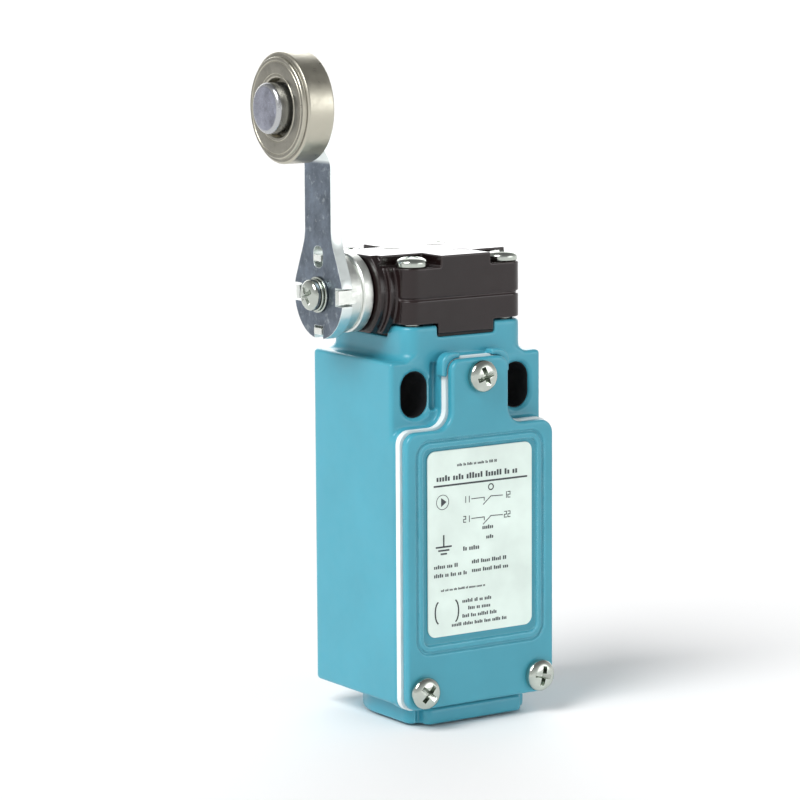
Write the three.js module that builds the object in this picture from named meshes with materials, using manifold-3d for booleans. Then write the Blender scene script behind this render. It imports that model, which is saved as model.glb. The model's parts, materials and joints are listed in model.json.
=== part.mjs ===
// Limit switch with a rotary side head and a roller lever.
//
// Millimetres, +Z up. X = 0 is the middle of the body and Y = 0 is the back
// mounting face, with the front looking along -Y. The lever shaft leaves the
// head along -X. Heights below are drawn up from the face of the conduit boss,
// and the whole switch is then lowered so that Z = 0 is the middle of the
// mounting slots.

import * as THREE from 'three';
import { mergeVertices } from 'three/addons/utils/BufferGeometryUtils.js';
import Module from 'manifold-3d';

const wasm = await Module();
wasm.setup();

// ---------------------------------------------------------------- dimensions

const BODY = { width: 31, depth: 25, bottom: 4, shoulder: 62.7, backRadius: 1.4, frontRadius: 0.6 };
const RIM = { front: -26.2, grow: 0.25 };
const RIM_HOOK = { front: -27.4, grow: 1.1, inner: 3.3, outer: 8, bottom: 60, top: 65 };
const GASKET = { back: -26.25, front: -27.45, grow: 0.2 };
const COVER = { back: -27.5, front: -29.2, width: 30.5, bottom: 3.4, shoulder: 51.1, top: 62.9, tab: 11.7 };
const PANEL = { halfWidth: 12.4, bottom: 13.6, top: 48.7, radius: 2, depth: 0.6 };
const LABEL = { halfWidth: 10.8, bottom: 15.6, top: 47.6, thickness: 0.3, radius: 1.2 };
const COVER_SCREWS = [
  { name: 'cover_screw_top', x: 0, z: 59.8 },
  { name: 'cover_screw_left', x: -11.95, z: 6.5 },
  { name: 'cover_screw_right', x: 11.95, z: 6.5 },
];

const SLOT = { x: 10.5, z: 56.9, width: 5.5, height: 8 };
const LUG_GROOVE = { inner: 5.4, outer: 7.15, depth: 1.2, bottom: 54 };

const AXIS_Y = -12.86;
const NECK = { half: 12.1, radius: 2.6, floor: 66.4, postTop: 68.4, notchHalf: 5.9 };
const HEAD = { bottom: 66.9, cornerBottom: 68.7, top: 80.2, pocketFloor: 78.3, pocketX: 5.1, pocketY: 6.2 };
const BEARING_BOSS = { radius: 9.2, front: -13.5, noseRadius: 8.2, nose: -14.9, bore: 5.9 };
const HEAD_CAVITY = { radius: 7.6, top: 78.4 };
const HEAD_SCREW = { offset: 9.3, tip: 62.6 };
const SHAFT_Z = 73.65;

const BOSS = { radius: 12.35, y: -14.4, front: -25.4, conduitRadius: 10, top: 4.5 };
const BOSS_APRON = { half: 10.1, front: -27.3, top: 2.8, radius: 1.2 };
const CAVITY = { half: 12.9, back: -2.6, bottom: 10, top: 48.5, radius: 2 };

const PLUNGER = { radius: 2.3, nose: 2.9, collar: 4.4, top: 68.95, bottom: 44.8 };
const PLUNGER_CHAMBER = { radius: 5, top: 64 };
const CAM = { radius: 4.4, flat: 3.5 };
const SHAFT = { radius: 3.4, left: -19.6, right: 10.2, journal: 2.4 };

const LEVER = { outer: -22.05, thickness: 2.07, disc: 7.6, armHalf: 4.1, length: 31.8, jog: 1.5 };
const HUB = { back: -15.1, radius: 6.8, grooveRadius: 6.3, keyIn: 5.7, keyOut: 6.75, keyHalf: 1.15 };
const LEVER_WASHER = { radius: 3.1, thickness: 0.4 };
const LEVER_SPRING_WASHER = { radius: 2.8, thickness: 0.5, gap: 0.5 };
const LEVER_SCREW = { head: 2.65, height: 1.5, shank: 1.9, length: 8.4, bore: 2.1 };
const ROLLER = { radius: 9.4, back: -24.3, front: -29.4, face: -30, bore: 4.2, counterbore: 4.95, seat: 3.8 };
const PIN = { head: 4.3, headHeight: 3.6, face: -32.4, shank: 2.7, rivet: 2 };

const FIT = 0.3;
const STACK = 0.06;
const THROUGH = 60;

// ------------------------------------------------------------------ colours

const FINISH = {
  paint: { color: 0x66b4cd, roughness: 0.42, metalness: 0.35 },
  headBlack: { color: 0x2c2625, roughness: 0.22, metalness: 0.2 },
  gasket: { color: 0xdfe6e2, roughness: 0.7, metalness: 0 },
  label: { color: 0xe4f5ec, roughness: 0.55, metalness: 0 },
  zinc: { color: 0xc2c6c4, roughness: 0.3, metalness: 1 },
  leverSteel: { color: 0x707681, roughness: 0.42, metalness: 1 },
  rollerSteel: { color: 0x8d8f87, roughness: 0.3, metalness: 1 },
  bronze: { color: 0xa9773f, roughness: 0.4, metalness: 1 },
  brass: { color: 0xc9a64b, roughness: 0.35, metalness: 1 },
  rubber: { color: 0x1d1d1e, roughness: 0.85, metalness: 0 },
  moulding: { color: 0x23262b, roughness: 0.55, metalness: 0 },
  carrier: { color: 0xcdbf9c, roughness: 0.5, metalness: 0 },
  spring: { color: 0xb4b7b9, roughness: 0.3, metalness: 1 },
};

// ------------------------------------------------------------------ helpers

const SWITCH = new THREE.Group();

function toSolid(geometry) {
  const bare = new THREE.BufferGeometry();
  bare.setAttribute('position', geometry.getAttribute('position').clone());
  if (geometry.index) {
    bare.setIndex(geometry.index.clone());
  }
  const merged = mergeVertices(bare, 1e-5);
  const vertProperties = new Float32Array(merged.getAttribute('position').array);
  const triVerts = new Uint32Array(merged.index.array);
  return new wasm.Manifold(new wasm.Mesh({ numProp: 3, vertProperties, triVerts }));
}

function toGeometry(solid) {
  const mesh = solid.getMesh();
  const geometry = new THREE.BufferGeometry();
  geometry.setAttribute('position', new THREE.BufferAttribute(mesh.vertProperties, 3));
  geometry.setIndex(new THREE.BufferAttribute(mesh.triVerts, 1));
  geometry.computeVertexNormals();
  return geometry;
}

function join(...geometries) {
  const total = geometries.map(toSolid).reduce((sum, solid) => sum.add(solid));
  return toGeometry(total);
}

function cut(geometry, ...tools) {
  const total = tools.map(toSolid).reduce((rest, tool) => rest.subtract(tool), toSolid(geometry));
  return toGeometry(total);
}

function common(a, b) {
  return toGeometry(toSolid(a).intersect(toSolid(b)));
}

function add(name, geometry, finish, place = {}) {
  const mesh = new THREE.Mesh(geometry, new THREE.MeshStandardMaterial(FINISH[finish]));
  mesh.name = name;
  mesh.position.set(...(place.position ?? [0, 0, 0]));
  mesh.rotation.set(...(place.rotation ?? [0, 0, 0]));
  SWITCH.add(mesh);
  return mesh;
}

function box(x0, x1, y0, y1, z0, z1) {
  const geometry = new THREE.BoxGeometry(x1 - x0, y1 - y0, z1 - z0);
  return geometry.translate((x0 + x1) / 2, (y0 + y1) / 2, (z0 + z1) / 2);
}

// A corner of an outline: a point and the radius it is rounded with.
function corner(x, y, radius = 0) {
  return { x, y, radius };
}

// Closed outline through corners, each one replaced by an arc of its radius.
function roundedOutline(corners, steps = 3) {
  const points = [];
  corners.forEach((here, i) => {
    const before = corners[(i + corners.length - 1) % corners.length];
    const after = corners[(i + 1) % corners.length];
    const p = new THREE.Vector2(here.x, here.y);
    if (!here.radius) {
      points.push(p);
      return;
    }
    const u = new THREE.Vector2(before.x, before.y).sub(p).normalize();
    const v = new THREE.Vector2(after.x, after.y).sub(p).normalize();
    const half = Math.acos(THREE.MathUtils.clamp(u.dot(v), -1, 1)) / 2;
    const centre = u.clone().add(v).normalize().multiplyScalar(here.radius / Math.sin(half)).add(p);
    const first = u.clone().multiplyScalar(here.radius / Math.tan(half)).add(p).sub(centre);
    const last = v.clone().multiplyScalar(here.radius / Math.tan(half)).add(p).sub(centre);
    const sweep = Math.atan2(first.cross(last), first.dot(last));
    for (let k = 0; k <= steps; k += 1) {
      points.push(first.clone().rotateAround(new THREE.Vector2(), (sweep * k) / steps).add(centre));
    }
  });
  return new THREE.Shape(points);
}

function roundedRect(x0, x1, y0, y1, radius, steps = 3) {
  return roundedOutline([
    corner(x0, y0, radius), corner(x1, y0, radius), corner(x1, y1, radius), corner(x0, y1, radius),
  ], steps);
}

function circle(x, y, radius, segments = 24) {
  const points = [];
  for (let k = 0; k < segments; k += 1) {
    const angle = (2 * Math.PI * k) / segments;
    points.push(new THREE.Vector2(x + radius * Math.cos(angle), y + radius * Math.sin(angle)));
  }
  return new THREE.Shape(points);
}

function extrude(shape, depth) {
  return new THREE.ExtrudeGeometry(shape, { depth, bevelEnabled: false, curveSegments: 8 });
}

// Plan outline (x, y) raised from z0 to z1.
function alongZ(shape, z0, z1) {
  return extrude(shape, z1 - z0).translate(0, 0, z0);
}

// Front outline (x, z) carried from y0 (nearer the front) to y1.
function alongY(shape, y0, y1) {
  return extrude(shape, y1 - y0).rotateX(Math.PI / 2).translate(0, y1, 0);
}

// Side outline (y, z) carried from x0 to x1.
function alongX(shape, x0, x1) {
  return extrude(shape, x1 - x0).rotateZ(Math.PI / 2).rotateY(Math.PI / 2).translate(x0, 0, 0);
}

function cylinderZ(x, y, z0, z1, radius, segments = 20) {
  return alongZ(circle(x, y, radius, segments), z0, z1);
}

function cylinderY(x, z, y0, y1, radius, segments = 12) {
  return alongY(circle(x, z, radius, segments), y0, y1);
}

function cylinderX(y, z, x0, x1, radius, segments = 28) {
  return alongX(circle(y, z, radius, segments), x0, x1);
}

// Solid of revolution about Z from [radius, height] pairs, listed upwards.
function turned(profile, segments = 24) {
  const points = profile.map(([radius, height]) => new THREE.Vector2(radius, height));
  return new THREE.LatheGeometry(points, segments).rotateX(Math.PI / 2);
}

// Ring of revolution about Z: the profile is closed on itself.
function turnedRing(profile, segments = 24) {
  return turned([...profile, profile[0]], segments);
}

function helix(radius, wire, height, turns) {
  class Helix extends THREE.Curve {
    getPoint(t, target = new THREE.Vector3()) {
      const angle = 2 * Math.PI * turns * t;
      return target.set(radius * Math.cos(angle), radius * Math.sin(angle), wire + (height - 2 * wire) * t);
    }
  }
  const section = circle(0, 0, wire, 5);
  const steps = Math.round(turns * 8);
  return new THREE.ExtrudeGeometry(section, { extrudePath: new Helix(), steps, bevelEnabled: false });
}

// -------------------------------------------------------------------- screws

// Pan-head screw along Z: the head rests at z = 0 and rises, the shank hangs down.
function panScrew({ head, height, shank, length, segments = 14 }) {
  const body = turned([
    [0, -length], [shank, -length], [shank, 0],
    [head, 0], [head, height * 0.5], [head * 0.7, height], [0, height],
  ], segments);
  const arm = head * 0.62;
  const blade = head * 0.13;
  const depth = height * 0.4;
  return cut(
    body,
    box(-arm, arm, -blade, blade, depth, height + 1),
    box(-blade, blade, -arm, arm, depth, height + 1),
  );
}

const FACE_FRONT = [Math.PI / 2, 0, 0];
const FACE_LEFT = [0, -Math.PI / 2, 0];

// ------------------------------------------------------------------- outlines

// Front outline shared by the cover, its gasket and the rim under them.
function faceOutline(grow) {
  const half = COVER.width / 2 + grow;
  const tab = COVER.tab / 2 + grow;
  const bottom = COVER.bottom - grow;
  const shoulder = COVER.shoulder + grow;
  const top = COVER.top + grow;
  return roundedOutline([
    corner(-half, bottom, 2.2), corner(half, bottom, 2.2), corner(half, shoulder, 2.4),
    corner(tab, shoulder, 3), corner(tab, top, 2), corner(-tab, top, 2),
    corner(-tab, shoulder, 3), corner(-half, shoulder, 2.4),
  ]);
}

function cavityOutline(shrink = 0) {
  return roundedRect(
    -CAVITY.half + shrink, CAVITY.half - shrink, CAVITY.bottom + shrink, CAVITY.top - shrink,
    CAVITY.radius,
  );
}

function headPlan(inset = 0) {
  const half = NECK.half - inset;
  return roundedRect(-half, half, AXIS_Y - half, AXIS_Y + half, NECK.radius);
}

// The four corners of the head, as [x side, y side, name].
const CORNERS = [
  [-1, -1, 'front_left'], [1, -1, 'front_right'], [1, 1, 'back_right'], [-1, 1, 'back_left'],
];

// Corner block of the head's plan, from its inner edges to a little past its sides.
function cornerBlock(sideX, sideY, [edgeX, edgeY], z0, z1, past = 2) {
  const far = NECK.half + past;
  const xs = [sideX * edgeX, sideX * far].sort((a, b) => a - b);
  const ys = [AXIS_Y + sideY * edgeY, AXIS_Y + sideY * far].sort((a, b) => a - b);
  return box(...xs, ...ys, z0, z1);
}

function slotOutline(x) {
  const half = SLOT.width / 2;
  return roundedRect(
    x - half, x + half, SLOT.z - SLOT.height / 2, SLOT.z + SLOT.height / 2, half - 0.01, 5,
  );
}

// ------------------------------------------------------- contact block places

const BLOCK = { half: 11.6, back: -3, front: -19.6, bottom: 17, top: 43, floor: 7 };
const WELL = { half: 6.8, bottom: 20, top: 40 };
const BLOCK_EARS = [
  { name: 'block_screw_upper', x: -8.6, z: 45.2, x0: -11.6, x1: -5.6, z0: 42, z1: 47.6 },
  { name: 'block_screw_lower', x: 8.6, z: 14.7, x0: 5.6, x1: 11.6, z0: 12.2, z1: 18 },
];
const EARTH = { x: -9.2, z: 13.7, radius: 2.9, front: -13 };
const CARRIER = { half: 2, depth: 3.2, bottom: 27, top: 44.5 };
const BRIDGES = [
  { name: 'bridge_nc', z: 36.6, window: [34.4, 37.7], spring: [34.5, 36.5] },
  { name: 'bridge_no', z: 29.6, window: [29.3, 33], spring: [30.5, 32.9] },
];
const BRIDGE = { half: 6.3, depth: 1.75, thickness: 0.8 };
const TERMINALS = [
  { name: 'terminal_nc_left', side: -1, finger: 37.7, screw: 34.5 },
  { name: 'terminal_nc_right', side: 1, finger: 37.7, screw: 34.5 },
  { name: 'terminal_no_left', side: -1, finger: 25.3, screw: 28.6 },
  { name: 'terminal_no_right', side: 1, finger: 25.3, screw: 28.6 },
];
const STRIP = { thickness: 1, inner: 3.6, outer: 11.2, plateInner: 7.1, depth: 2 };

// -------------------------------------------------------------------- housing

function makeHousing() {
  const half = BODY.width / 2;
  const plan = roundedOutline([
    corner(-half, -BODY.depth, BODY.frontRadius), corner(half, -BODY.depth, BODY.frontRadius),
    corner(half, 0, BODY.backRadius), corner(-half, 0, BODY.backRadius),
  ]);
  // The conduit boss is square in front and round behind, about the conduit's axis.
  const bossBack = BOSS.y + BOSS.radius;
  const bossPlan = roundedOutline([
    corner(-BOSS.radius, BOSS.front, 2), corner(BOSS.radius, BOSS.front, 2),
    corner(BOSS.radius, bossBack, BOSS.radius - 0.01), corner(-BOSS.radius, bossBack, BOSS.radius - 0.01),
  ], 8);
  const apron = roundedRect(-BOSS_APRON.half, BOSS_APRON.half, BOSS_APRON.front, BOSS.y, BOSS_APRON.radius);
  // A narrow groove parts each mounting lug from the middle of the housing.
  const grooves = [-1, 1].map((side) => {
    const xs = [side * LUG_GROOVE.inner, side * LUG_GROOVE.outer].sort((a, b) => a - b);
    return box(...xs, -THROUGH, -BODY.depth + LUG_GROOVE.depth, LUG_GROOVE.bottom, THROUGH * 2);
  });
  // A hook on the rim wraps each top corner of the gasket's tab.
  const band = cut(
    alongY(faceOutline(RIM_HOOK.grow), RIM_HOOK.front, RIM.front + 0.5),
    alongY(faceOutline(RIM.grow), RIM_HOOK.front - 1, RIM.front),
  );
  const hooks = [-1, 1].map((side) => {
    const xs = [side * RIM_HOOK.inner, side * RIM_HOOK.outer].sort((a, b) => a - b);
    return common(band, box(...xs, -THROUGH, 0, RIM_HOOK.bottom, RIM_HOOK.top));
  });
  const neck = alongZ(headPlan(), BODY.shoulder - 0.5, NECK.floor);
  const posts = CORNERS.map(([sideX, sideY]) => common(
    alongZ(headPlan(), BODY.shoulder, NECK.postTop),
    cornerBlock(sideX, sideY, [NECK.notchHalf, NECK.notchHalf], BODY.shoulder, NECK.postTop),
  ));
  const shell = join(
    cut(alongZ(plan, BODY.bottom, BODY.shoulder), ...grooves),
    alongY(faceOutline(RIM.grow), RIM.front, -BODY.depth + 1),
    ...hooks,
    alongZ(bossPlan, 0, BOSS.top),
    alongZ(apron, 0, BOSS_APRON.top),
    neck,
    ...posts,
  );
  const earthBoss = cylinderY(EARTH.x, EARTH.z, EARTH.front, CAVITY.back + 0.5, EARTH.radius);
  const hollow = cut(shell, alongY(cavityOutline(), RIM.front - 1, CAVITY.back));
  return cut(
    join(hollow, earthBoss),
    cylinderZ(0, BOSS.y, -1, CAVITY.bottom + 0.5, BOSS.conduitRadius, 28),
    cylinderZ(0, AXIS_Y, CAVITY.top - 1, PLUNGER_CHAMBER.top, PLUNGER_CHAMBER.radius),
    cylinderZ(0, AXIS_Y, PLUNGER_CHAMBER.top - 1, NECK.floor + 1, PLUNGER.nose + FIT),
    alongY(slotOutline(-SLOT.x), -THROUGH, THROUGH),
    alongY(slotOutline(SLOT.x), -THROUGH, THROUGH),
    ...COVER_SCREWS.map(({ x, z }) => cylinderY(x, z, RIM.front - 1, -19.4, 1.8)),
    ...CORNERS.map(([sideX, sideY]) => cylinderZ(
      sideX * HEAD_SCREW.offset, AXIS_Y + sideY * HEAD_SCREW.offset,
      HEAD_SCREW.tip - FIT, NECK.postTop + 1, 1.8, 12,
    )),
    ...BLOCK_EARS.map(({ x, z }) => cylinderY(x, z, CAVITY.back - 1, -0.7, 1.5, 12)),
    cylinderY(EARTH.x, EARTH.z, EARTH.front - 1, -7, 1.7, 12),
  );
}

add('housing', makeHousing(), 'paint');

// ---------------------------------------------------- cover, gasket and label

function makeCover() {
  const panel = roundedRect(-PANEL.halfWidth, PANEL.halfWidth, PANEL.bottom, PANEL.top, PANEL.radius);
  return cut(
    alongY(faceOutline(0), COVER.front, COVER.back),
    alongY(panel, COVER.front - 1, COVER.front + PANEL.depth),
    ...COVER_SCREWS.map(({ x, z }) => cylinderY(x, z, -THROUGH, 0, 1.85, 16)),
  );
}

function makeCoverGasket() {
  return cut(
    alongY(faceOutline(GASKET.grow), GASKET.front, GASKET.back),
    alongY(cavityOutline(), -THROUGH, 0),
    ...COVER_SCREWS.map(({ x, z }) => cylinderY(x, z, -THROUGH, 0, 1.85, 16)),
  );
}

add('cover', makeCover(), 'paint');
add('cover_gasket', makeCoverGasket(), 'gasket');

const labelBack = COVER.front + PANEL.depth - STACK;
const labelOutline = roundedRect(
  -LABEL.halfWidth, LABEL.halfWidth, LABEL.bottom, LABEL.top, LABEL.radius,
);
add('rating_label', alongY(labelOutline, labelBack - LABEL.thickness, labelBack), 'label');

const coverScrew = panScrew({ head: 2.75, height: 1.8, shank: 1.5, length: 8.6 });
for (const { name, x, z } of COVER_SCREWS) {
  const position = [x, COVER.front - STACK, z];
  add(name, coverScrew.clone(), 'zinc', { position, rotation: FACE_FRONT });
}

// ----------------------------------------------------------------------- head

function makeHeadHousing() {
  const outer = alongZ(headPlan(), HEAD.bottom, HEAD.top);
  const bearing = join(
    outer,
    cylinderX(AXIS_Y, SHAFT_Z, BEARING_BOSS.front, -NECK.half + 1, BEARING_BOSS.radius),
    cylinderX(AXIS_Y, SHAFT_Z, BEARING_BOSS.nose, -NECK.half + 1, BEARING_BOSS.noseRadius),
  );
  // The bearing boss is trimmed level with the top and the underside of the head.
  const trimmed = common(bearing, box(-20, 20, -THROUGH, THROUGH, HEAD.bottom, HEAD.top));
  const notch = [NECK.notchHalf - 0.2, NECK.notchHalf - 0.2];
  return cut(
    trimmed,
    ...CORNERS.flatMap(([sideX, sideY]) => [
      cornerBlock(sideX, sideY, notch, HEAD.bottom - 1, HEAD.cornerBottom, 0.05),
      cornerBlock(sideX, sideY, [HEAD.pocketX, HEAD.pocketY], HEAD.pocketFloor, HEAD.top + 1),
      cylinderZ(sideX * HEAD_SCREW.offset, AXIS_Y + sideY * HEAD_SCREW.offset, 60, 79, 1.8, 12),
    ]),
    cylinderZ(0, AXIS_Y, HEAD.bottom - 1, HEAD_CAVITY.top, HEAD_CAVITY.radius, 28),
    cylinderX(AXIS_Y, SHAFT_Z, -16, -5, BEARING_BOSS.bore),
    cylinderX(AXIS_Y, SHAFT_Z, 5, SHAFT.right + FIT, SHAFT.journal + FIT, 16),
  );
}

add('head_housing', makeHeadHousing(), 'headBlack');

function makeHeadGasket() {
  const z0 = NECK.floor + STACK;
  const z1 = HEAD.bottom - STACK;
  const notch = [NECK.notchHalf - 0.2, NECK.notchHalf - 0.2];
  return cut(
    alongZ(headPlan(0.3), z0, z1),
    ...CORNERS.map(([sideX, sideY]) => cornerBlock(sideX, sideY, notch, z0 - 1, z1 + 1)),
    cylinderZ(0, AXIS_Y, z0 - 1, z1 + 1, HEAD_CAVITY.radius + 0.1, 28),
  );
}

add('head_gasket', makeHeadGasket(), 'rubber');

const headScrew = panScrew({ head: 2.7, height: 1.7, shank: 1.5, length: HEAD.pocketFloor - HEAD_SCREW.tip });
for (const [sideX, sideY, name] of CORNERS) {
  const position = [
    sideX * HEAD_SCREW.offset, AXIS_Y + sideY * HEAD_SCREW.offset, HEAD.pocketFloor + STACK,
  ];
  add(`head_screw_${name}`, headScrew.clone(), 'zinc', { position, rotation: [0, 0, 0.4 * sideX] });
}

// Pieces turned about the lever shaft: the profile's height runs out along -X.
function onShaft(x) {
  return { position: [x, AXIS_Y, SHAFT_Z], rotation: FACE_LEFT };
}

const bush = turnedRing([[3.6, 0], [5.6, 0], [5.6, 5.4], [3.6, 5.4]]);
add('bearing_bush', bush, 'bronze', onShaft(-8));
const shaftSeal = turnedRing([[3.6, 0], [5.6, 0], [5.6, 1.1], [4.4, 1.1], [3.6, 0.6]]);
add('shaft_seal', shaftSeal, 'rubber', onShaft(-13.6));

// ---------------------------------------------------- shaft, hub, lever, screw

function makeShaft() {
  const camHalf = 3;
  const profile = turned([
    [0, -SHAFT.right], [SHAFT.journal, -SHAFT.right], [SHAFT.journal, -camHalf - 1],
    [SHAFT.radius, -camHalf - 1], [SHAFT.radius, -camHalf], [CAM.radius, -camHalf],
    [CAM.radius, camHalf], [SHAFT.radius, camHalf], [SHAFT.radius, -SHAFT.left], [0, -SHAFT.left],
  ], 24).rotateY(-Math.PI / 2);
  // The cam is flat where it rests over the plunger, so it drives it either way.
  return cut(
    profile,
    box(-camHalf - 0.5, camHalf + 0.5, -CAM.radius, CAM.radius, -CAM.radius - 1, -CAM.flat),
    cylinderX(0, 0, SHAFT.left - 1, -13.6, 2.1, 16),
  );
}

add('rotary_shaft', makeShaft(), 'zinc', { position: [0, AXIS_Y, SHAFT_Z] });

// Side outline of one of the four keys or notches between hub and lever.
function keyOutline(quarter, inner, outer, half) {
  const points = [[inner, -half], [outer, -half], [outer, half], [inner, half]];
  const angle = (quarter * Math.PI) / 2;
  return new THREE.Shape(points.map(([a, b]) => new THREE.Vector2(
    AXIS_Y + a * Math.cos(angle) - b * Math.sin(angle),
    SHAFT_Z + a * Math.sin(angle) + b * Math.cos(angle),
  )));
}

const LEVER_INNER = LEVER.outer + LEVER.thickness;

function makeHub() {
  const front = LEVER_INNER + 0.1;
  const drum = join(
    cylinderX(AXIS_Y, SHAFT_Z, front, front + 2.2, HUB.radius),
    cylinderX(AXIS_Y, SHAFT_Z, front + 2, front + 2.7, HUB.grooveRadius),
    cylinderX(AXIS_Y, SHAFT_Z, front + 2.6, HUB.back, HUB.radius),
    ...[0, 1, 2, 3].map((quarter) => alongX(
      keyOutline(quarter, HUB.keyIn, HUB.keyOut, HUB.keyHalf), LEVER.outer - 0.2, front + 1,
    )),
  );
  return cut(drum, cylinderX(AXIS_Y, SHAFT_Z, -THROUGH, 0, SHAFT.radius + 0.2, 24));
}

add('lever_hub', makeHub(), 'zinc');

function makeLeverArm() {
  const tip = SHAFT_Z + LEVER.length;
  const bend = SHAFT_Z + 22.5;
  const face = join(
    cylinderX(AXIS_Y, SHAFT_Z, -30, -15, LEVER.disc, 36),
    cylinderX(AXIS_Y, tip, -30, -15, LEVER.armHalf, 24),
    alongX(roundedOutline([
      corner(AXIS_Y - 6.8, SHAFT_Z), corner(AXIS_Y + 6.8, SHAFT_Z),
      corner(AXIS_Y + LEVER.armHalf, SHAFT_Z + 8.4, 5), corner(AXIS_Y + LEVER.armHalf, tip),
      corner(AXIS_Y - LEVER.armHalf, tip), corner(AXIS_Y - LEVER.armHalf, SHAFT_Z + 8.4, 5),
    ]), -30, -15),
  );
  const rise = LEVER.jog * 1.8;
  const side = alongY(roundedOutline([
    corner(LEVER.outer, SHAFT_Z - 10), corner(LEVER_INNER, SHAFT_Z - 10),
    corner(LEVER_INNER, bend + 0.6, 1.5), corner(LEVER_INNER - LEVER.jog, bend + rise + 0.6, 3.5),
    corner(LEVER_INNER - LEVER.jog, tip + 10), corner(LEVER.outer - LEVER.jog, tip + 10),
    corner(LEVER.outer - LEVER.jog, bend + rise, 1.5), corner(LEVER.outer, bend, 3.5),
  ]), AXIS_Y - 20, AXIS_Y + 20);
  return cut(
    common(face, side),
    cylinderX(AXIS_Y, SHAFT_Z, -THROUGH, 0, 2.2, 20),
    cylinderX(AXIS_Y, tip, -THROUGH, 0, PIN.rivet + 0.2, 20),
    alongX(keyOutline(0, 5.3, 9, 1.5), -THROUGH, 0),
    alongX(keyOutline(2, 5.3, 9, 1.5), -THROUGH, 0),
    alongX(keyOutline(3, 5.3, 9, 1.5), -THROUGH, 0),
    alongX(keyOutline(1, 4.6, 8.1, 1.45), -THROUGH, 0),
  );
}

add('lever_arm', makeLeverArm(), 'leverSteel');

// Plain washer about Z, sitting on z = 0 with a hole for the lever screw.
function washerRing({ radius, thickness }) {
  return turnedRing([
    [LEVER_SCREW.bore, 0], [radius, 0], [radius, thickness], [LEVER_SCREW.bore, thickness],
  ], 20);
}

function makeSpringWasher() {
  const half = LEVER_SPRING_WASHER.gap / 2;
  return cut(washerRing(LEVER_SPRING_WASHER), box(0, 5, -half, half, -1, 2));
}

const flatWasherSeat = LEVER.outer - STACK;
const springWasherSeat = flatWasherSeat - LEVER_WASHER.thickness - STACK;
const leverScrewSeat = springWasherSeat - LEVER_SPRING_WASHER.thickness - STACK;
add('lever_flat_washer', washerRing(LEVER_WASHER), 'zinc', onShaft(flatWasherSeat));
add('lever_spring_washer', makeSpringWasher(), 'zinc', onShaft(springWasherSeat));
add('lever_screw', panScrew({ ...LEVER_SCREW, segments: 18 }), 'zinc', onShaft(leverScrewSeat));

// --------------------------------------------------------- roller and its pin

function onPin(x) {
  return { position: [x, AXIS_Y, SHAFT_Z + LEVER.length], rotation: FACE_LEFT };
}

// Heights are measured outwards from the lever's outer face at the pin.
const PIN_SEAT = LEVER.outer - LEVER.jog;
const pinTop = PIN_SEAT - PIN.face;
const headFoot = pinTop - PIN.headHeight;
const pinTail = -LEVER.thickness - 0.5;
const pin = turned([
  [0, pinTail], [PIN.rivet, pinTail], [PIN.rivet, STACK], [PIN.shank, STACK],
  [PIN.shank, headFoot], [PIN.head, headFoot], [PIN.head, pinTop - 0.6],
  [PIN.head - 0.6, pinTop], [0, pinTop],
], 24);
add('roller_pin', pin, 'rollerSteel', onPin(PIN_SEAT));

const pinBore = PIN.shank + 0.15;
const washer = turnedRing([[pinBore, 0], [4.4, 0], [4.4, 0.45], [pinBore, 0.45]], 20);
add('roller_washer', washer, 'zinc', onPin(PIN_SEAT - 0.1));

const rollerWidth = ROLLER.back - ROLLER.face;
const rimWidth = ROLLER.back - ROLLER.front;
const roller = turnedRing([
  [ROLLER.bore, 0], [ROLLER.radius, 0], [ROLLER.radius, rimWidth], [ROLLER.radius - 0.7, rimWidth],
  [ROLLER.radius - 0.8, rollerWidth], [ROLLER.counterbore, rollerWidth],
  [ROLLER.counterbore, ROLLER.seat], [ROLLER.bore, ROLLER.seat],
], 40);
add('roller', roller, 'rollerSteel', onPin(ROLLER.back));

const bushEnd = ROLLER.seat - 0.2;
const rollerBush = turnedRing([[pinBore, 0], [4.05, 0], [4.05, bushEnd], [pinBore, bushEnd]], 20);
add('roller_bush', rollerBush, 'bronze', onPin(ROLLER.back - 0.1));

// -------------------------------------------------------- plunger and its seal

// Pieces on the plunger's upright axis.
function onPlunger(z) {
  return { position: [0, AXIS_Y, z] };
}

const collarTop = PLUNGER_CHAMBER.top - 0.5;
const collarBottom = collarTop - 1.5;
const plunger = turned([
  [0, PLUNGER.bottom], [PLUNGER.radius, PLUNGER.bottom], [PLUNGER.radius, collarBottom],
  [PLUNGER.collar, collarBottom], [PLUNGER.collar, collarTop], [PLUNGER.nose, collarTop],
  [PLUNGER.nose, PLUNGER.top - 0.8], [PLUNGER.nose - 0.9, PLUNGER.top], [0, PLUNGER.top],
], 18);
add('head_plunger', plunger, 'zinc', onPlunger(0));

const guideTop = 54;
const guide = turnedRing([[2.6, 49], [4.7, 49], [4.7, guideTop], [2.6, guideTop]], 18);
add('plunger_guide', guide, 'bronze', onPlunger(0));

const returnSpring = helix(3.5, 0.4, collarBottom - guideTop - 0.2, 4);
add('plunger_spring', returnSpring, 'spring', onPlunger(guideTop + 0.1));

const sealFloor = NECK.floor + STACK;
const plungerSeal = turnedRing([[3.1, sealFloor], [5.4, sealFloor], [5.4, 67.3], [3.1, 67.3]], 18);
add('plunger_seal', plungerSeal, 'rubber', onPlunger(0));

// ------------------------------------------------------------- contact block

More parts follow.
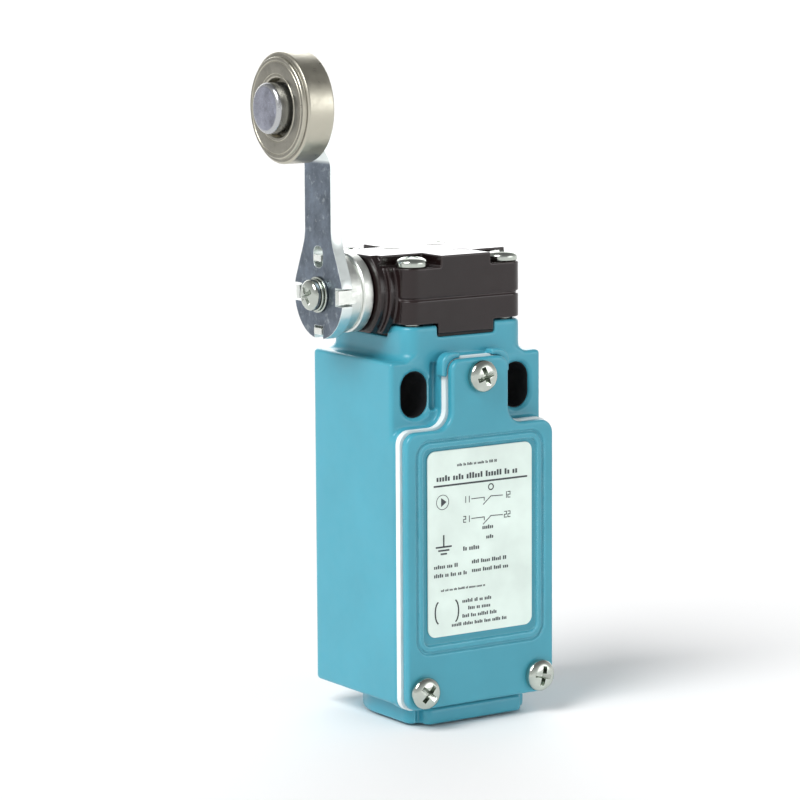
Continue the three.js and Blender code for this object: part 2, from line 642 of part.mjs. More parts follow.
function stripParts({ side, finger, screw }) {
  const plateFront = BLOCK.front - 0.2;
  const plateBack = plateFront + STRIP.thickness;
  const xs = (a, b) => [side * a, side * b].sort((m, n) => m - n);
  const fingerTop = finger + STRIP.thickness;
  const low = Math.min(finger, screw - 2.6);
  const high = Math.max(fingerTop, screw + 2.6);
  return {
    finger: [...xs(STRIP.inner, STRIP.outer), plateBack - 0.4, AXIS_Y + STRIP.depth, finger, fingerTop],
    plate: [...xs(STRIP.plateInner, STRIP.outer), plateFront, plateBack, low, high],
  };
}

function swell([x0, x1, y0, y1, z0, z1], by) {
  return box(x0 - by, x1 + by, y0 - by, y1 + by, z0 - by, z1 + by);
}

function terminalScrewX(side) {
  return (side * (STRIP.plateInner + STRIP.outer)) / 2;
}

function makeBlockBase() {
  const solid = join(
    box(-BLOCK.half, BLOCK.half, BLOCK.front, BLOCK.back, BLOCK.bottom, BLOCK.top),
    ...BLOCK_EARS.map(({ x0, x1, z0, z1 }) => box(x0, x1, -BLOCK.floor, BLOCK.back, z0, z1)),
  );
  const window = CARRIER.depth + FIT;
  return cut(
    solid,
    box(-WELL.half, WELL.half, BLOCK.front - 1, -BLOCK.floor, WELL.bottom, WELL.top),
    box(-CARRIER.half - FIT, CARRIER.half + FIT, AXIS_Y - window, AXIS_Y + window, WELL.top - 1, 50),
    cylinderZ(0, AXIS_Y, 18.4, WELL.bottom + 1, 2.4, 16),
    ...TERMINALS.flatMap((terminal) => {
      const { finger, plate } = stripParts(terminal);
      return [
        swell(finger, FIT),
        swell(plate, FIT),
        cylinderY(terminalScrewX(terminal.side), terminal.screw, BLOCK.front - 1, -14, 1.4, 12),
      ];
    }),
    ...BLOCK_EARS.map(({ x, z }) => cylinderY(x, z, -THROUGH, 0, 1.5, 12)),
  );
}

add('contact_block', makeBlockBase(), 'moulding');

const lidOutline = roundedRect(-6.6, 6.6, 18.5, 41.5, 0.8, 3);
add('contact_block_lid', alongY(lidOutline, BLOCK.front - 1.3, BLOCK.front - STACK), 'moulding');

const terminalScrew = panScrew({ head: 1.9, height: 1.3, shank: 1.1, length: 5, segments: 10 });
for (const terminal of TERMINALS) {
  const { finger, plate } = stripParts(terminal);
  const x = terminalScrewX(terminal.side);
  const strip = cut(join(box(...finger), box(...plate)), cylinderY(x, terminal.screw, -THROUGH, 0, 1.3, 12));
  add(terminal.name, strip, 'brass');
  const position = [x, BLOCK.front - 0.2 - STACK, terminal.screw];
  const name = terminal.name.replace('terminal', 'terminal_screw');
  add(name, terminalScrew.clone(), 'zinc', { position, rotation: FACE_FRONT });
}

const blockScrew = panScrew({ head: 2, height: 1.4, shank: 1.2, length: 5.9, segments: 10 });
for (const { name, x, z } of BLOCK_EARS) {
  const position = [x, -BLOCK.floor - STACK, z];
  add(name, blockScrew.clone(), 'zinc', { position, rotation: FACE_FRONT });
}

const earthScrew = panScrew({ head: 2.5, height: 1.6, shank: 1.4, length: 5.4, segments: 10 });
add('earth_screw', earthScrew, 'brass', {
  position: [EARTH.x, EARTH.front - 0.7, EARTH.z], rotation: FACE_FRONT,
});
const earthWasher = turnedRing([[1.6, 0], [2.8, 0], [2.8, 0.6], [1.6, 0.6]], 14);
add('earth_washer', earthWasher, 'brass', {
  position: [EARTH.x, EARTH.front - 0.05, EARTH.z], rotation: FACE_FRONT,
});

// ------------------------------------------------- contact carrier and bridges

function makeCarrier() {
  const { half, depth, bottom, top } = CARRIER;
  const halfWindow = BRIDGE.depth + FIT;
  return cut(
    box(-half, half, AXIS_Y - depth, AXIS_Y + depth, bottom, top),
    ...BRIDGES.map(({ window: [z0, z1] }) => box(
      -half - 1, half + 1, AXIS_Y - halfWindow, AXIS_Y + halfWindow, z0, z1,
    )),
  );
}

add('contact_carrier', makeCarrier(), 'carrier');

for (const { name, z, spring } of BRIDGES) {
  const bar = box(
    -BRIDGE.half, BRIDGE.half, AXIS_Y - BRIDGE.depth, AXIS_Y + BRIDGE.depth, z, z + BRIDGE.thickness,
  );
  add(name, bar, 'brass');
  const coil = helix(1.1, 0.2, spring[1] - spring[0], 2);
  add(name.replace('bridge', 'contact_spring'), coil, 'spring', onPlunger(spring[0]));
}

const carrierSpring = helix(1.7, 0.25, CARRIER.bottom - 18.4 - 0.2, 4);
add('carrier_spring', carrierSpring, 'spring', onPlunger(18.5));

SWITCH.position.z = -SLOT.z;

export default SWITCH;
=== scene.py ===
"""Looks of the limit switch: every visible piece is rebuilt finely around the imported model."""
import json
import math
import random

import bmesh
import bpy
from mathutils import Matrix, Vector


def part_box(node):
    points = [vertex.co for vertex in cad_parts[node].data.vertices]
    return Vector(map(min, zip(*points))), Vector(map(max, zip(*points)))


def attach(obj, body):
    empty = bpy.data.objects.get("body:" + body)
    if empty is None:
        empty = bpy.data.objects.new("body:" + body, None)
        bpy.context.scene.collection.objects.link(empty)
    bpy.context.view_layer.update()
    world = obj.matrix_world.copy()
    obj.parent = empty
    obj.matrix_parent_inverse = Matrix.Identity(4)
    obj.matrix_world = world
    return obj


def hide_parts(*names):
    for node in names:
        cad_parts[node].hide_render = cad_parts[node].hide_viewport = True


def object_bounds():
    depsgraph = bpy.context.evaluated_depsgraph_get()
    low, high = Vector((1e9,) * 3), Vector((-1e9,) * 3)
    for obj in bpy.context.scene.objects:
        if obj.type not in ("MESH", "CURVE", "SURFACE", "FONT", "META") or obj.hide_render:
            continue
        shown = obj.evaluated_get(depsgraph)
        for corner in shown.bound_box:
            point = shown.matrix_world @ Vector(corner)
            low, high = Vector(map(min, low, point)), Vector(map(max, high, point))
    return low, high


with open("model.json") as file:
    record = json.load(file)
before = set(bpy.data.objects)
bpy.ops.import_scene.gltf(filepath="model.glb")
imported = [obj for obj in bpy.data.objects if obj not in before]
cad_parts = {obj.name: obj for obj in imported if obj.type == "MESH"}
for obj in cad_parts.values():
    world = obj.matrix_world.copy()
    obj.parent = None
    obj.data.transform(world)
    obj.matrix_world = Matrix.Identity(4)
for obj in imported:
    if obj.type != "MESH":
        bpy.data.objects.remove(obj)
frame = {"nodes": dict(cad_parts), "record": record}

random.seed(7)
cad_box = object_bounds()
RECORD = frame["record"]
NODES = frame["nodes"]

MM = 0.001
# Heights are in millimetres above the face of the conduit boss, as the body was drawn.
BASE_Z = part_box("housing")[0][2] / MM


def node_box(name):
    """Lowest and highest corner of a CAD node, in millimetres above the conduit face."""
    lo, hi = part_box(name)
    lo = Vector(lo) / MM
    hi = Vector(hi) / MM
    return lo - Vector((0, 0, BASE_Z)), hi - Vector((0, 0, BASE_Z))


# ------------------------------------------------------------ driving places

HOUSING_HI = node_box("housing")[1]
COVER_LO, COVER_HI = node_box("cover")
HEAD_LO, HEAD_HI = node_box("head_housing")
LABEL_LO, LABEL_HI = node_box("rating_label")
ROLLER_LO, ROLLER_HI = node_box("roller")
PIN_LO, PIN_HI = node_box("roller_pin")
LEVER_LO, LEVER_HI = node_box("lever_arm")
HUB_LO, HUB_HI = node_box("lever_hub")

# In front and to the left of every piece, where cutting tools start.
OUTSIDE = -40

HALF_WIDTH = HOUSING_HI.x
LUG_FACE = -25.0
SHOULDER = 62.7
BODY_BOTTOM = 4.0
COVER_HALF = COVER_HI.x
TAB_HALF = 5.85
COVER_SHOULDER = 51.1
AXIS_Y = (ROLLER_LO.y + ROLLER_HI.y) / 2
SHAFT_Z = (HUB_LO.z + HUB_HI.z) / 2
PIN_Z = (ROLLER_LO.z + ROLLER_HI.z) / 2
HEAD_HALF = 12.1
HEAD_CORNER = 2.6
NECK_FLOOR = 66.4
POST_TOP = HOUSING_HI.z
NOTCH_HALF = 5.9
POCKET_FLOOR = 78.3

CONDUIT_Y = -14.4
CONDUIT_BORE = 10.4
CONDUIT_CREST = 9.9
CONDUIT_DEPTH = 10.6
BOSS_HALF = 12.35
APRON_HALF = 10.1
APRON_FACE = -27.3
APRON_TOP = 2.8

# Rim that the cover's gasket sits on, and the hooks around its top corners.
RIM_FACE = -26.2
RIM_GROW = 0.25
HOOK_FACE = -27.9
HOOK_GROW = 1.05
HOOK_INNER = 3.3
HOOK_FOOT = 60

SLOT_X = (-10.5, 10.5)
SLOT_HALF = 2.75
SLOT_FOOT = 52.9
SLOT_TOP = 60.9
SLOT_RELIEF = 0.45

# Opening behind the cover, and the sunk panel that holds the label.
CAVITY = (-12.9, 12.9, 10, 48.5, 2)
PANEL_HALF = 11.8
PANEL_FOOT = 14.2
PANEL_TOP = 48.2
PANEL_CORNER = 1.4
PANEL_DEPTH = 0.6

SCREW_HOLE = 1.8
COVER_HOLE = 1.85
SHANK = 1.5

LEVER_THICKNESS = 2.07
LEVER_DISC = 7.6
LEVER_HALF = 4.1
LEVER_HOLE = 2.2
HUB_RADIUS = 6.8
KEY_HEIGHT = 2.37
ROLLER_STEP = 0.6
PIN_HEIGHT = 3.6

INK_DEPTH = 0.03


# ------------------------------------------------------------------ geometry

def rounded(corners, steps=8):
    """Points of a closed outline whose corners (x, y, radius) are replaced by arcs."""
    points = []
    for i, (x, y, radius) in enumerate(corners):
        here = Vector((x, y))
        if not radius:
            points.append(here)
            continue
        before = Vector(corners[i - 1][:2])
        after = Vector(corners[(i + 1) % len(corners)][:2])
        u = (before - here).normalized()
        v = (after - here).normalized()
        half = u.angle(v) / 2
        centre = here + (u + v).normalized() * radius / math.sin(half)
        first = here + u * radius / math.tan(half) - centre
        last = here + v * radius / math.tan(half) - centre
        sweep = math.atan2(first.x * last.y - first.y * last.x, first.dot(last))
        for k in range(steps + 1):
            points.append(centre + Matrix.Rotation(sweep * k / steps, 2) @ first)
    return points


def rounded_rect(x0, x1, y0, y1, radius, steps=8):
    return rounded([(x0, y0, radius), (x1, y0, radius), (x1, y1, radius), (x0, y1, radius)], steps)


def ring(x, y, radius, segments=64):
    turns = [2 * math.pi * k / segments for k in range(segments)]
    return [Vector((x + radius * math.cos(t), y + radius * math.sin(t))) for t in turns]


def to_object(name, bm):
    """Object from a bmesh drawn in millimetres above the conduit face."""
    bmesh.ops.transform(bm, matrix=Matrix.Scale(MM, 4) @ Matrix.Translation((0, 0, BASE_Z)), verts=bm.verts)
    bmesh.ops.recalc_face_normals(bm, faces=bm.faces)
    mesh = bpy.data.meshes.new(name)
    bm.to_mesh(mesh)
    bm.free()
    obj = bpy.data.objects.new(name, mesh)
    bpy.context.scene.collection.objects.link(obj)
    return obj


PLACE = {
    "x": lambda u, v, w: (w, u, v),
    "y": lambda u, v, w: (u, w, v),
    "z": lambda u, v, w: (u, v, w),
}


def prism(outline, low, high, axis="z"):
    """Closed solid: an outline carried along an axis from low to high."""
    bm = bmesh.new()
    place = PLACE[axis]
    bottom = [bm.verts.new(place(p[0], p[1], low)) for p in outline]
    top = [bm.verts.new(place(p[0], p[1], high)) for p in outline]
    bm.faces.new(bottom)
    bm.faces.new(top)
    for i in range(len(outline)):
        j = (i + 1) % len(outline)
        bm.faces.new((bottom[i], bottom[j], top[j], top[i]))
    return to_object("part", bm)


def soft_prism(outline, low, high, axis, radius):
    """Prism whose two end faces are rounded over by a radius."""
    obj = prism(outline, low, high, axis)
    soft = obj.modifiers.new("bevel", "BEVEL")
    soft.width = radius * MM
    soft.segments = 5
    soft.limit_method = "ANGLE"
    soft.angle_limit = math.radians(60)
    return bake(obj)


def block(x0, x1, y0, y1, z0, z1):
    return prism([(x0, y0), (x1, y0), (x1, y1), (x0, y1)], z0, z1)


def rod(centre, radius, low, high, axis, segments=64):
    return prism(ring(*centre, radius, segments), low, high, axis)


def spin(profile, segments):
    """Mesh of revolution about Z. The profile lists (radius, height), and may start off the axis."""
    bm = bmesh.new()
    rows = []
    for radius, along in profile:
        if radius < 1e-6:
            rows.append([bm.verts.new((0, 0, along))])
            continue
        rows.append([
            bm.verts.new((radius * math.cos(t), radius * math.sin(t), along))
            for t in (2 * math.pi * k / segments for k in range(segments))
        ])
    closed = profile[0][0] > 1e-6
    pairs = list(zip(rows, rows[1:])) + ([(rows[-1], rows[0])] if closed else [])
    for a, b in pairs:
        for i in range(segments):
            j = (i + 1) % segments
            corners = [a[i % len(a)], a[j % len(a)], b[j % len(b)], b[i % len(b)]]
            bm.faces.new(list(dict.fromkeys(corners)))
    return bm


def lathe(profile, centre, axis, direction=1, segments=96):
    """Solid of revolution. The profile lists (radius, distance along the axis from centre)."""
    bm = spin(profile, segments)
    aim = Vector(PLACE[axis](0, 0, direction))
    turn = Vector((0, 0, 1)).rotation_difference(aim).to_matrix().to_4x4()
    bmesh.ops.transform(bm, matrix=Matrix.Translation(centre) @ turn, verts=bm.verts)
    return to_object("part", bm)


def bake(obj):
    """Applies an object's modifiers to its mesh."""
    graph = bpy.context.evaluated_depsgraph_get()
    mesh = bpy.data.meshes.new_from_object(obj.evaluated_get(graph))
    old = obj.data
    obj.modifiers.clear()
    obj.data = mesh
    bpy.data.meshes.remove(old)
    return obj


def combine(obj, tools, operation):
    for tool in tools:
        step = obj.modifiers.new("combine", "BOOLEAN")
        step.operation = operation
        step.solver = "MANIFOLD"
        step.object = tool
        bake(obj)
        bpy.data.objects.remove(tool)
    return obj


def unite(obj, *tools):
    return combine(obj, tools, "UNION")


def carve(obj, *tools):
    return combine(obj, tools, "DIFFERENCE")


def cast(obj, voxel, passes, share):
    """Turns a sharp solid into a die-cast one: every edge and inner corner gets a soft radius."""
    remesh = obj.modifiers.new("remesh", "REMESH")
    remesh.mode = "VOXEL"
    remesh.voxel_size = voxel * MM
    soften = obj.modifiers.new("soften", "SMOOTH")
    soften.factor = 0.5
    soften.iterations = passes
    thin = obj.modifiers.new("thin", "DECIMATE")
    thin.ratio = share
    bake(obj)
    return shade(obj)


def shade(obj):
    obj.data.polygons.foreach_set("use_smooth", [True] * len(obj.data.polygons))
    return obj


def bevel(obj, width, segments=3, angle=30):
    """Rounds the sharp edges of a machined or moulded piece."""
    soft = obj.modifiers.new("bevel", "BEVEL")
    soft.width = width * MM
    soft.segments = segments
    soft.limit_method = "ANGLE"
    soft.angle_limit = math.radians(angle)
    return weigh(bake(obj))


def weigh(obj):
    """Smooth shading that keeps the flat faces flat."""
    shade(obj)
    tidy = obj.modifiers.new("normals", "WEIGHTED_NORMAL")
    tidy.weight = 100
    return bake(obj)


def piece(obj, name, body, nodes, material):
    """Names a finished piece, gives it its material, hangs it on its body and hides the model's nodes it
    stands for.
    """
    obj.name = name
    obj.data.name = name
    obj.data.materials.clear()
    obj.data.materials.append(material)
    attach(obj, body)
    if nodes:
        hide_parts(*nodes)
    return obj


# ----------------------------------------------------------------- materials

def new_material(name):
    material = bpy.data.materials.new(name)
    material.use_nodes = True
    tree = material.node_tree
    shader = tree.nodes["Principled BSDF"]
    place = tree.nodes.new("ShaderNodeTexCoord")
    return material, tree, shader, place.outputs["Object"]


def noise(tree, where, scale, detail=3, roughness=0.5, stretch=None):
    texture = tree.nodes.new("ShaderNodeTexNoise")
    texture.inputs["Scale"].default_value = scale
    texture.inputs["Detail"].default_value = detail
    texture.inputs["Roughness"].default_value = roughness
    if stretch:
        mapping = tree.nodes.new("ShaderNodeMapping")
        mapping.inputs["Scale"].default_value = stretch
        tree.links.new(where, mapping.inputs["Vector"])
        where = mapping.outputs["Vector"]
    tree.links.new(where, texture.inputs["Vector"])
    return texture.outputs["Fac"]


def ramp(tree, fac, stops):
    """Colour ramp through (position, colour) stops; a number is read as a grey."""
    node = tree.nodes.new("ShaderNodeValToRGB")
    elements = node.color_ramp.elements
    while len(elements) < len(stops):
        elements.new(0.5)
    for element, (position, colour) in zip(elements, stops):
        element.position = position
        element.color = (*colour, 1) if hasattr(colour, "__len__") else (colour, colour, colour, 1)
    tree.links.new(fac, node.inputs["Fac"])
    return node.outputs["Color"]


def bump(tree, shader, height, strength, distance, under=None):
    node = tree.nodes.new("ShaderNodeBump")
    node.inputs["Strength"].default_value = strength
    node.inputs["Distance"].default_value = distance * MM
    tree.links.new(height, node.inputs["Height"])
    if under:
        tree.links.new(under, node.inputs["Normal"])
    tree.links.new(node.outputs["Normal"], shader.inputs["Normal"])
    return node.outputs["Normal"]


def shift(colour, factor):
    """Colour made lighter or darker by a factor."""
    return tuple(min(1.0, c * factor) for c in colour)


def blend_colour(tree, fac, first, second):
    """A linked colour that gives way to a plain one where the mask is 1."""
    node = tree.nodes.new("ShaderNodeMix")
    node.data_type = "RGBA"
    tree.links.new(fac, node.inputs["Factor"])
    tree.links.new(first, node.inputs["A"])
    node.inputs["B"].default_value = (*second, 1)
    return node.outputs["Result"]


def edges(tree, where, radius, low, high):
    """Mask of the edges, made lighter partly as wear and partly as a painted highlight: where the surface
    turns within a small radius, broken up by noise.
    """
    soft = tree.nodes.new("ShaderNodeBevel")
    soft.samples = 6
    soft.inputs["Radius"].default_value = radius * MM
    flat = tree.nodes.new("ShaderNodeNewGeometry")
    dot = tree.nodes.new("ShaderNodeVectorMath")
    dot.operation = "DOT_PRODUCT"
    tree.links.new(soft.outputs["Normal"], dot.inputs[0])
    tree.links.new(flat.outputs["Normal"], dot.inputs[1])
    turn = ramp(tree, dot.outputs["Value"], [(low, 1.0), (high, 0.0)])
    broken = ramp(tree, noise(tree, where, 600, 4, 0.6), [(0.3, 0.45), (0.6, 1.0)])
    both = tree.nodes.new("ShaderNodeMath")
    both.operation = "MULTIPLY"
    tree.links.new(turn, both.inputs[0])
    tree.links.new(broken, both.inputs[1])
    return both.outputs["Value"]


def paint_material(name, colour, roughness, coat, peel, edge, spread=0.06, shine=0.5):
    """Enamel on a die casting: faint orange peel, slow colour drift, uneven gloss, and edges lighter where
    the paint runs thin and as a painted highlight.
    """
    material, tree, shader, where = new_material(name)
    drift = noise(tree, where, 55, 4, 0.6)
    tint = ramp(tree, drift, [(0.3, shift(colour, 1 - spread)), (0.7, shift(colour, 1 + spread))])
    # Lighter edge colour: partly wear, partly a painted highlight.
    worn_and_lit = blend_colour(tree, edges(tree, where, 0.5, 0.9, 0.985), tint, edge)
    tree.links.new(worn_and_lit, shader.inputs["Base Color"])
    gloss = ramp(tree, noise(tree, where, 400, 3), [(0.3, roughness * 0.85), (0.7, roughness * 1.2)])
    tree.links.new(gloss, shader.inputs["Roughness"])
    shader.inputs["Specular IOR Level"].default_value = shine
    shader.inputs["Coat Weight"].default_value = coat
    shader.inputs["Coat Roughness"].default_value = 0.18
    fine = bump(tree, shader, noise(tree, where, 2600, 2), 0.12, peel * 0.4)
    bump(tree, shader, noise(tree, where, 900, 2), 0.2, peel, fine)
    return material


def metal_material(name, colour, roughness, grain=0.006, mottle=0.08):
    """Plated or turned metal: patchy plating, uneven polish, a fine grain, and edges brightened partly as
    wear and partly as a painted highlight.
    """
    material, tree, shader, where = new_material(name)
    shader.inputs["Metallic"].default_value = 1.0
    patches = noise(tree, where, 380, 5, 0.65)
    dark = shift(colour, 1 - mottle)
    light = shift(colour, 1 + mottle)
    tint = ramp(tree, patches, [(0.3, dark), (0.55, colour), (0.75, light)])
    # Lighter edge colour: partly wear, partly a painted highlight.
    worn_and_lit = blend_colour(tree, edges(tree, where, 0.25, 0.88, 0.98), tint, shift(colour, 1.25))
    tree.links.new(worn_and_lit, shader.inputs["Base Color"])
    polish = ramp(tree, noise(tree, where, 900, 4, 0.6), [(0.3, roughness * 0.7), (0.7, roughness * 1.35)])
    tree.links.new(polish, shader.inputs["Roughness"])
    bump(tree, shader, noise(tree, where, 1440, 4, 0.6), 0.25, grain)
    return material


def side_shade_mask(tree, low, high):
    """Mask that is 0 on faces square to X and 1 on the others, in the piece's own space; it places painted
    shade on the faces square to X.
    """
    normal = tree.nodes.new("ShaderNodeTexCoord").outputs["Normal"]
    split = tree.nodes.new("ShaderNodeSeparateXYZ")
    tree.links.new(normal, split.inputs["Vector"])
    size = tree.nodes.new("ShaderNodeMath")
    size.operation = "ABSOLUTE"
    tree.links.new(split.outputs["X"], size.inputs[0])
    return ramp(tree, size.outputs["Value"], [(low, 1.0), (high, 0.0)])


def side_shaded_metal(name, face, cut, roughness, low, high, mottle, fleck):
    """Plated face with a flecked finish, darkened as painted shade for the dark room it reflects, and
    bright metal where it was cut or turned.
    """
    material, tree, shader, where = new_material(name)
    shader.inputs["Metallic"].default_value = 1.0
    patches = noise(tree, where, 260, 6, 0.7)
    dark = shift(face, 1 - mottle)
    light = shift(face, 1 + mottle)
    shaded_face_tone = ramp(tree, patches, [(0.32, dark), (0.5, face), (0.7, light)])
    specks = ramp(tree, noise(tree, where, 800, 3, 0.7), [(0.58, 0.0), (0.8, fleck)])
    flecked = blend_colour(tree, specks, shaded_face_tone, cut)
    # Faces square to X take the darker face colour: painted shade.
    side_shaded = blend_colour(tree, side_shade_mask(tree, low, high), flecked, cut)
    # Lighter edge colour: partly wear, partly a painted highlight.
    worn_and_lit = blend_colour(tree, edges(tree, where, 0.25, 0.9, 0.985), side_shaded, shift(cut, 1.05))
    tree.links.new(worn_and_lit, shader.inputs["Base Color"])
    polish = ramp(tree, noise(tree, where, 700, 5, 0.65), [(0.3, roughness * 0.75), (0.7, roughness * 1.3)])
    tree.links.new(polish, shader.inputs["Roughness"])
    scratch = noise(tree, where, 900, 4, 0.6, (1.0, 0.25, 2.5))
    bump(tree, shader, scratch, 0.2, 0.008)
    return material


def plastic_material(name, colour, roughness, texture=0.02):
    """Moulded or printed surface: slight colour drift, even gloss and a fine texture."""
    material, tree, shader, where = new_material(name)
    tint = ramp(tree, noise(tree, where, 150, 3), [(0.3, shift(colour, 0.93)), (0.7, shift(colour, 1.07))])
    tree.links.new(tint, shader.inputs["Base Color"])
    gloss = ramp(tree, noise(tree, where, 700, 2), [(0.3, roughness * 0.9), (0.7, roughness * 1.1)])
    tree.links.new(gloss, shader.inputs["Roughness"])
    bump(tree, shader, noise(tree, where, 1800, 3), 0.2, texture)
    return material


MATERIALS = {
    # The second colour of each enamel below is its lighter edge colour: partly wear, partly a painted
    # highlight.
    "paint": paint_material(
        "blue_enamel", (0.053, 0.333, 0.437), 0.34, 0.22, 0.02, (0.30, 0.64, 0.73), 0.06, 0.42,
    ),
    "head_black": paint_material(
        "black_enamel", (0.012, 0.006, 0.006), 0.22, 0.2, 0.012, (0.09, 0.07, 0.07), 0.2, 0.36,
    ),
    "gasket": plastic_material("white_gasket", (0.80, 0.86, 0.86), 0.55),
    "label": plastic_material("label_film", (0.76, 0.88, 0.82), 0.45, 0.004),
    "zinc": metal_material("zinc_plate", (0.52, 0.56, 0.51), 0.17, 0.003, 0.08),
    # The first colour of each metal below is its face colour, darkened as painted shade for the dark room
    # the faces reflect.
    "lever_steel": side_shaded_metal(
        "lever_plate", (0.145, 0.175, 0.215), (0.80, 0.86, 0.85), 0.36, 0.93, 0.985, 0.35, 0.35,
    ),
    "roller_steel": side_shaded_metal(
        "turned_steel", (0.25, 0.24, 0.205), (0.51, 0.49, 0.41), 0.35, 0.9, 0.98, 0.2, 0.2,
    ),
    "bronze": metal_material("sintered_bronze", (0.50, 0.32, 0.16), 0.45),
    "brass": metal_material("stamped_brass", (0.72, 0.55, 0.25), 0.3),
    "rubber": plastic_material("black_rubber", (0.02, 0.02, 0.02), 0.8, 0.05),
    "moulding": plastic_material("black_moulding", (0.03, 0.032, 0.035), 0.5, 0.03),
    "carrier": plastic_material("cream_moulding", (0.62, 0.56, 0.40), 0.45),
    "spring": metal_material("spring_wire", (0.62, 0.63, 0.64), 0.25),
}
INK = plastic_material("label_ink", (0.045, 0.055, 0.06), 0.5, 0.002)
# The pin's first colour is its face colour, darkened as painted shade for the dark room its faces reflect.
PIN_MATERIAL = side_shaded_metal(
    "polished_pin", (0.25, 0.26, 0.31), (0.48, 0.49, 0.50), 0.24, 0.93, 0.99, 0.4, 0.25,
)
HUB_MATERIAL = metal_material("cast_zinc", (0.78, 0.81, 0.77), 0.42, 0.02, 0.12)
# Near-black sheet for the inside of the mounting slots: painted shade.
SLOT_SHADE = plastic_material("slot_painted_shade", (0.006, 0.007, 0.009), 0.7, 0.02)


# -------------------------------------------------------------- cast housing

def face_outline(grow):
    """Front outline shared by the cover, its gasket and the rim under them."""
    half = COVER_HALF + grow
    tab = TAB_HALF + grow
    bottom = COVER_LO.z - grow
    shoulder = COVER_SHOULDER + grow
    top = COVER_HI.z + grow
    return rounded([
        (-half, bottom, 2.2), (half, bottom, 2.2), (half, shoulder, 2.4), (tab, shoulder, 3),
        (tab, top, 2), (-tab, top, 2), (-tab, shoulder, 3), (-half, shoulder, 2.4),
    ])


def head_plan(inset=0):
    half = HEAD_HALF - inset
    return rounded_rect(-half, half, AXIS_Y - half, AXIS_Y + half, HEAD_CORNER)


CORNERS = [(-1, -1, "front_left"), (1, -1, "front_right"), (1, 1, "back_right"), (-1, 1, "back_left")]


def corner_block(side_x, side_y, edge_x, edge_y, z0, z1, past=2.0):
    far = HEAD_HALF + past
    x0, x1 = sorted((side_x * edge_x, side_x * far))
    y0, y1 = sorted((AXIS_Y + side_y * edge_y, AXIS_Y + side_y * far))
    return block(x0, x1, y0, y1, z0, z1)


def slot_solid(x, shrink, front, back):
    """Solid that fills a mounting slot between two depths, smaller all round by `shrink`."""
    half = SLOT_HALF - shrink
    outline = rounded_rect(x - half, x + half, SLOT_FOOT + shrink, SLOT_TOP - shrink, half - 0.01, 16)
    return prism(outline, front, back, "y")


def hook(side):
    """Rib of the rim that wraps one top corner of the gasket's tab."""
    band = carve(
        soft_prism(face_outline(HOOK_GROW), HOOK_FACE, -25.7, "y", 0.3),
        prism(face_outline(0.04), -30, -20, "y"),
    )
    x0, x1 = sorted((side * HOOK_INNER, side * 8))
    return combine(band, [block(x0, x1, OUTSIDE, 0, HOOK_FOOT, 65)], "INTERSECT")


COVER_SCREWS = ["cover_screw_top", "cover_screw_left", "cover_screw_right"]
HEAD_SCREWS = [f"head_screw_{name}" for _, _, name in CORNERS]


def centre_of(node):
    lo, hi = node_box(node)
    return (lo + hi) / 2


def conduit_thread():
    """Bore of the conduit entry with the rings of its thread, cut up into the body."""
    pitch = 1.5
    turns = 6
    start = 0.3
    root = CONDUIT_BORE + 0.05
    profile = [(0, -1), (CONDUIT_BORE, -1), (CONDUIT_BORE, start)]
    for k in range(turns):
        z = start + k * pitch
        profile += [(CONDUIT_CREST, z + 0.35), (root, z + pitch * 0.65), (root, z + pitch * 0.85)]
    profile += [(CONDUIT_CREST, CONDUIT_DEPTH), (0, CONDUIT_DEPTH)]
    return lathe(profile, Vector((0, CONDUIT_Y, 0)), "z")


def neck_fillet(radius, steps):
    """Thin slabs that step out from the neck to the shoulder, to be softened into a fillet."""
    slabs = []
    for k in range(steps):
        height = radius * (k + 1) / steps
        reach = radius - math.sqrt(radius ** 2 - (radius - height) ** 2)
        slab = prism(head_plan(-reach), SHOULDER - 0.5, SHOULDER + height)
        slabs.append(carve(slab, block(-30, 30, OUTSIDE, AXIS_Y - HEAD_HALF, 0, 90)))
    return slabs


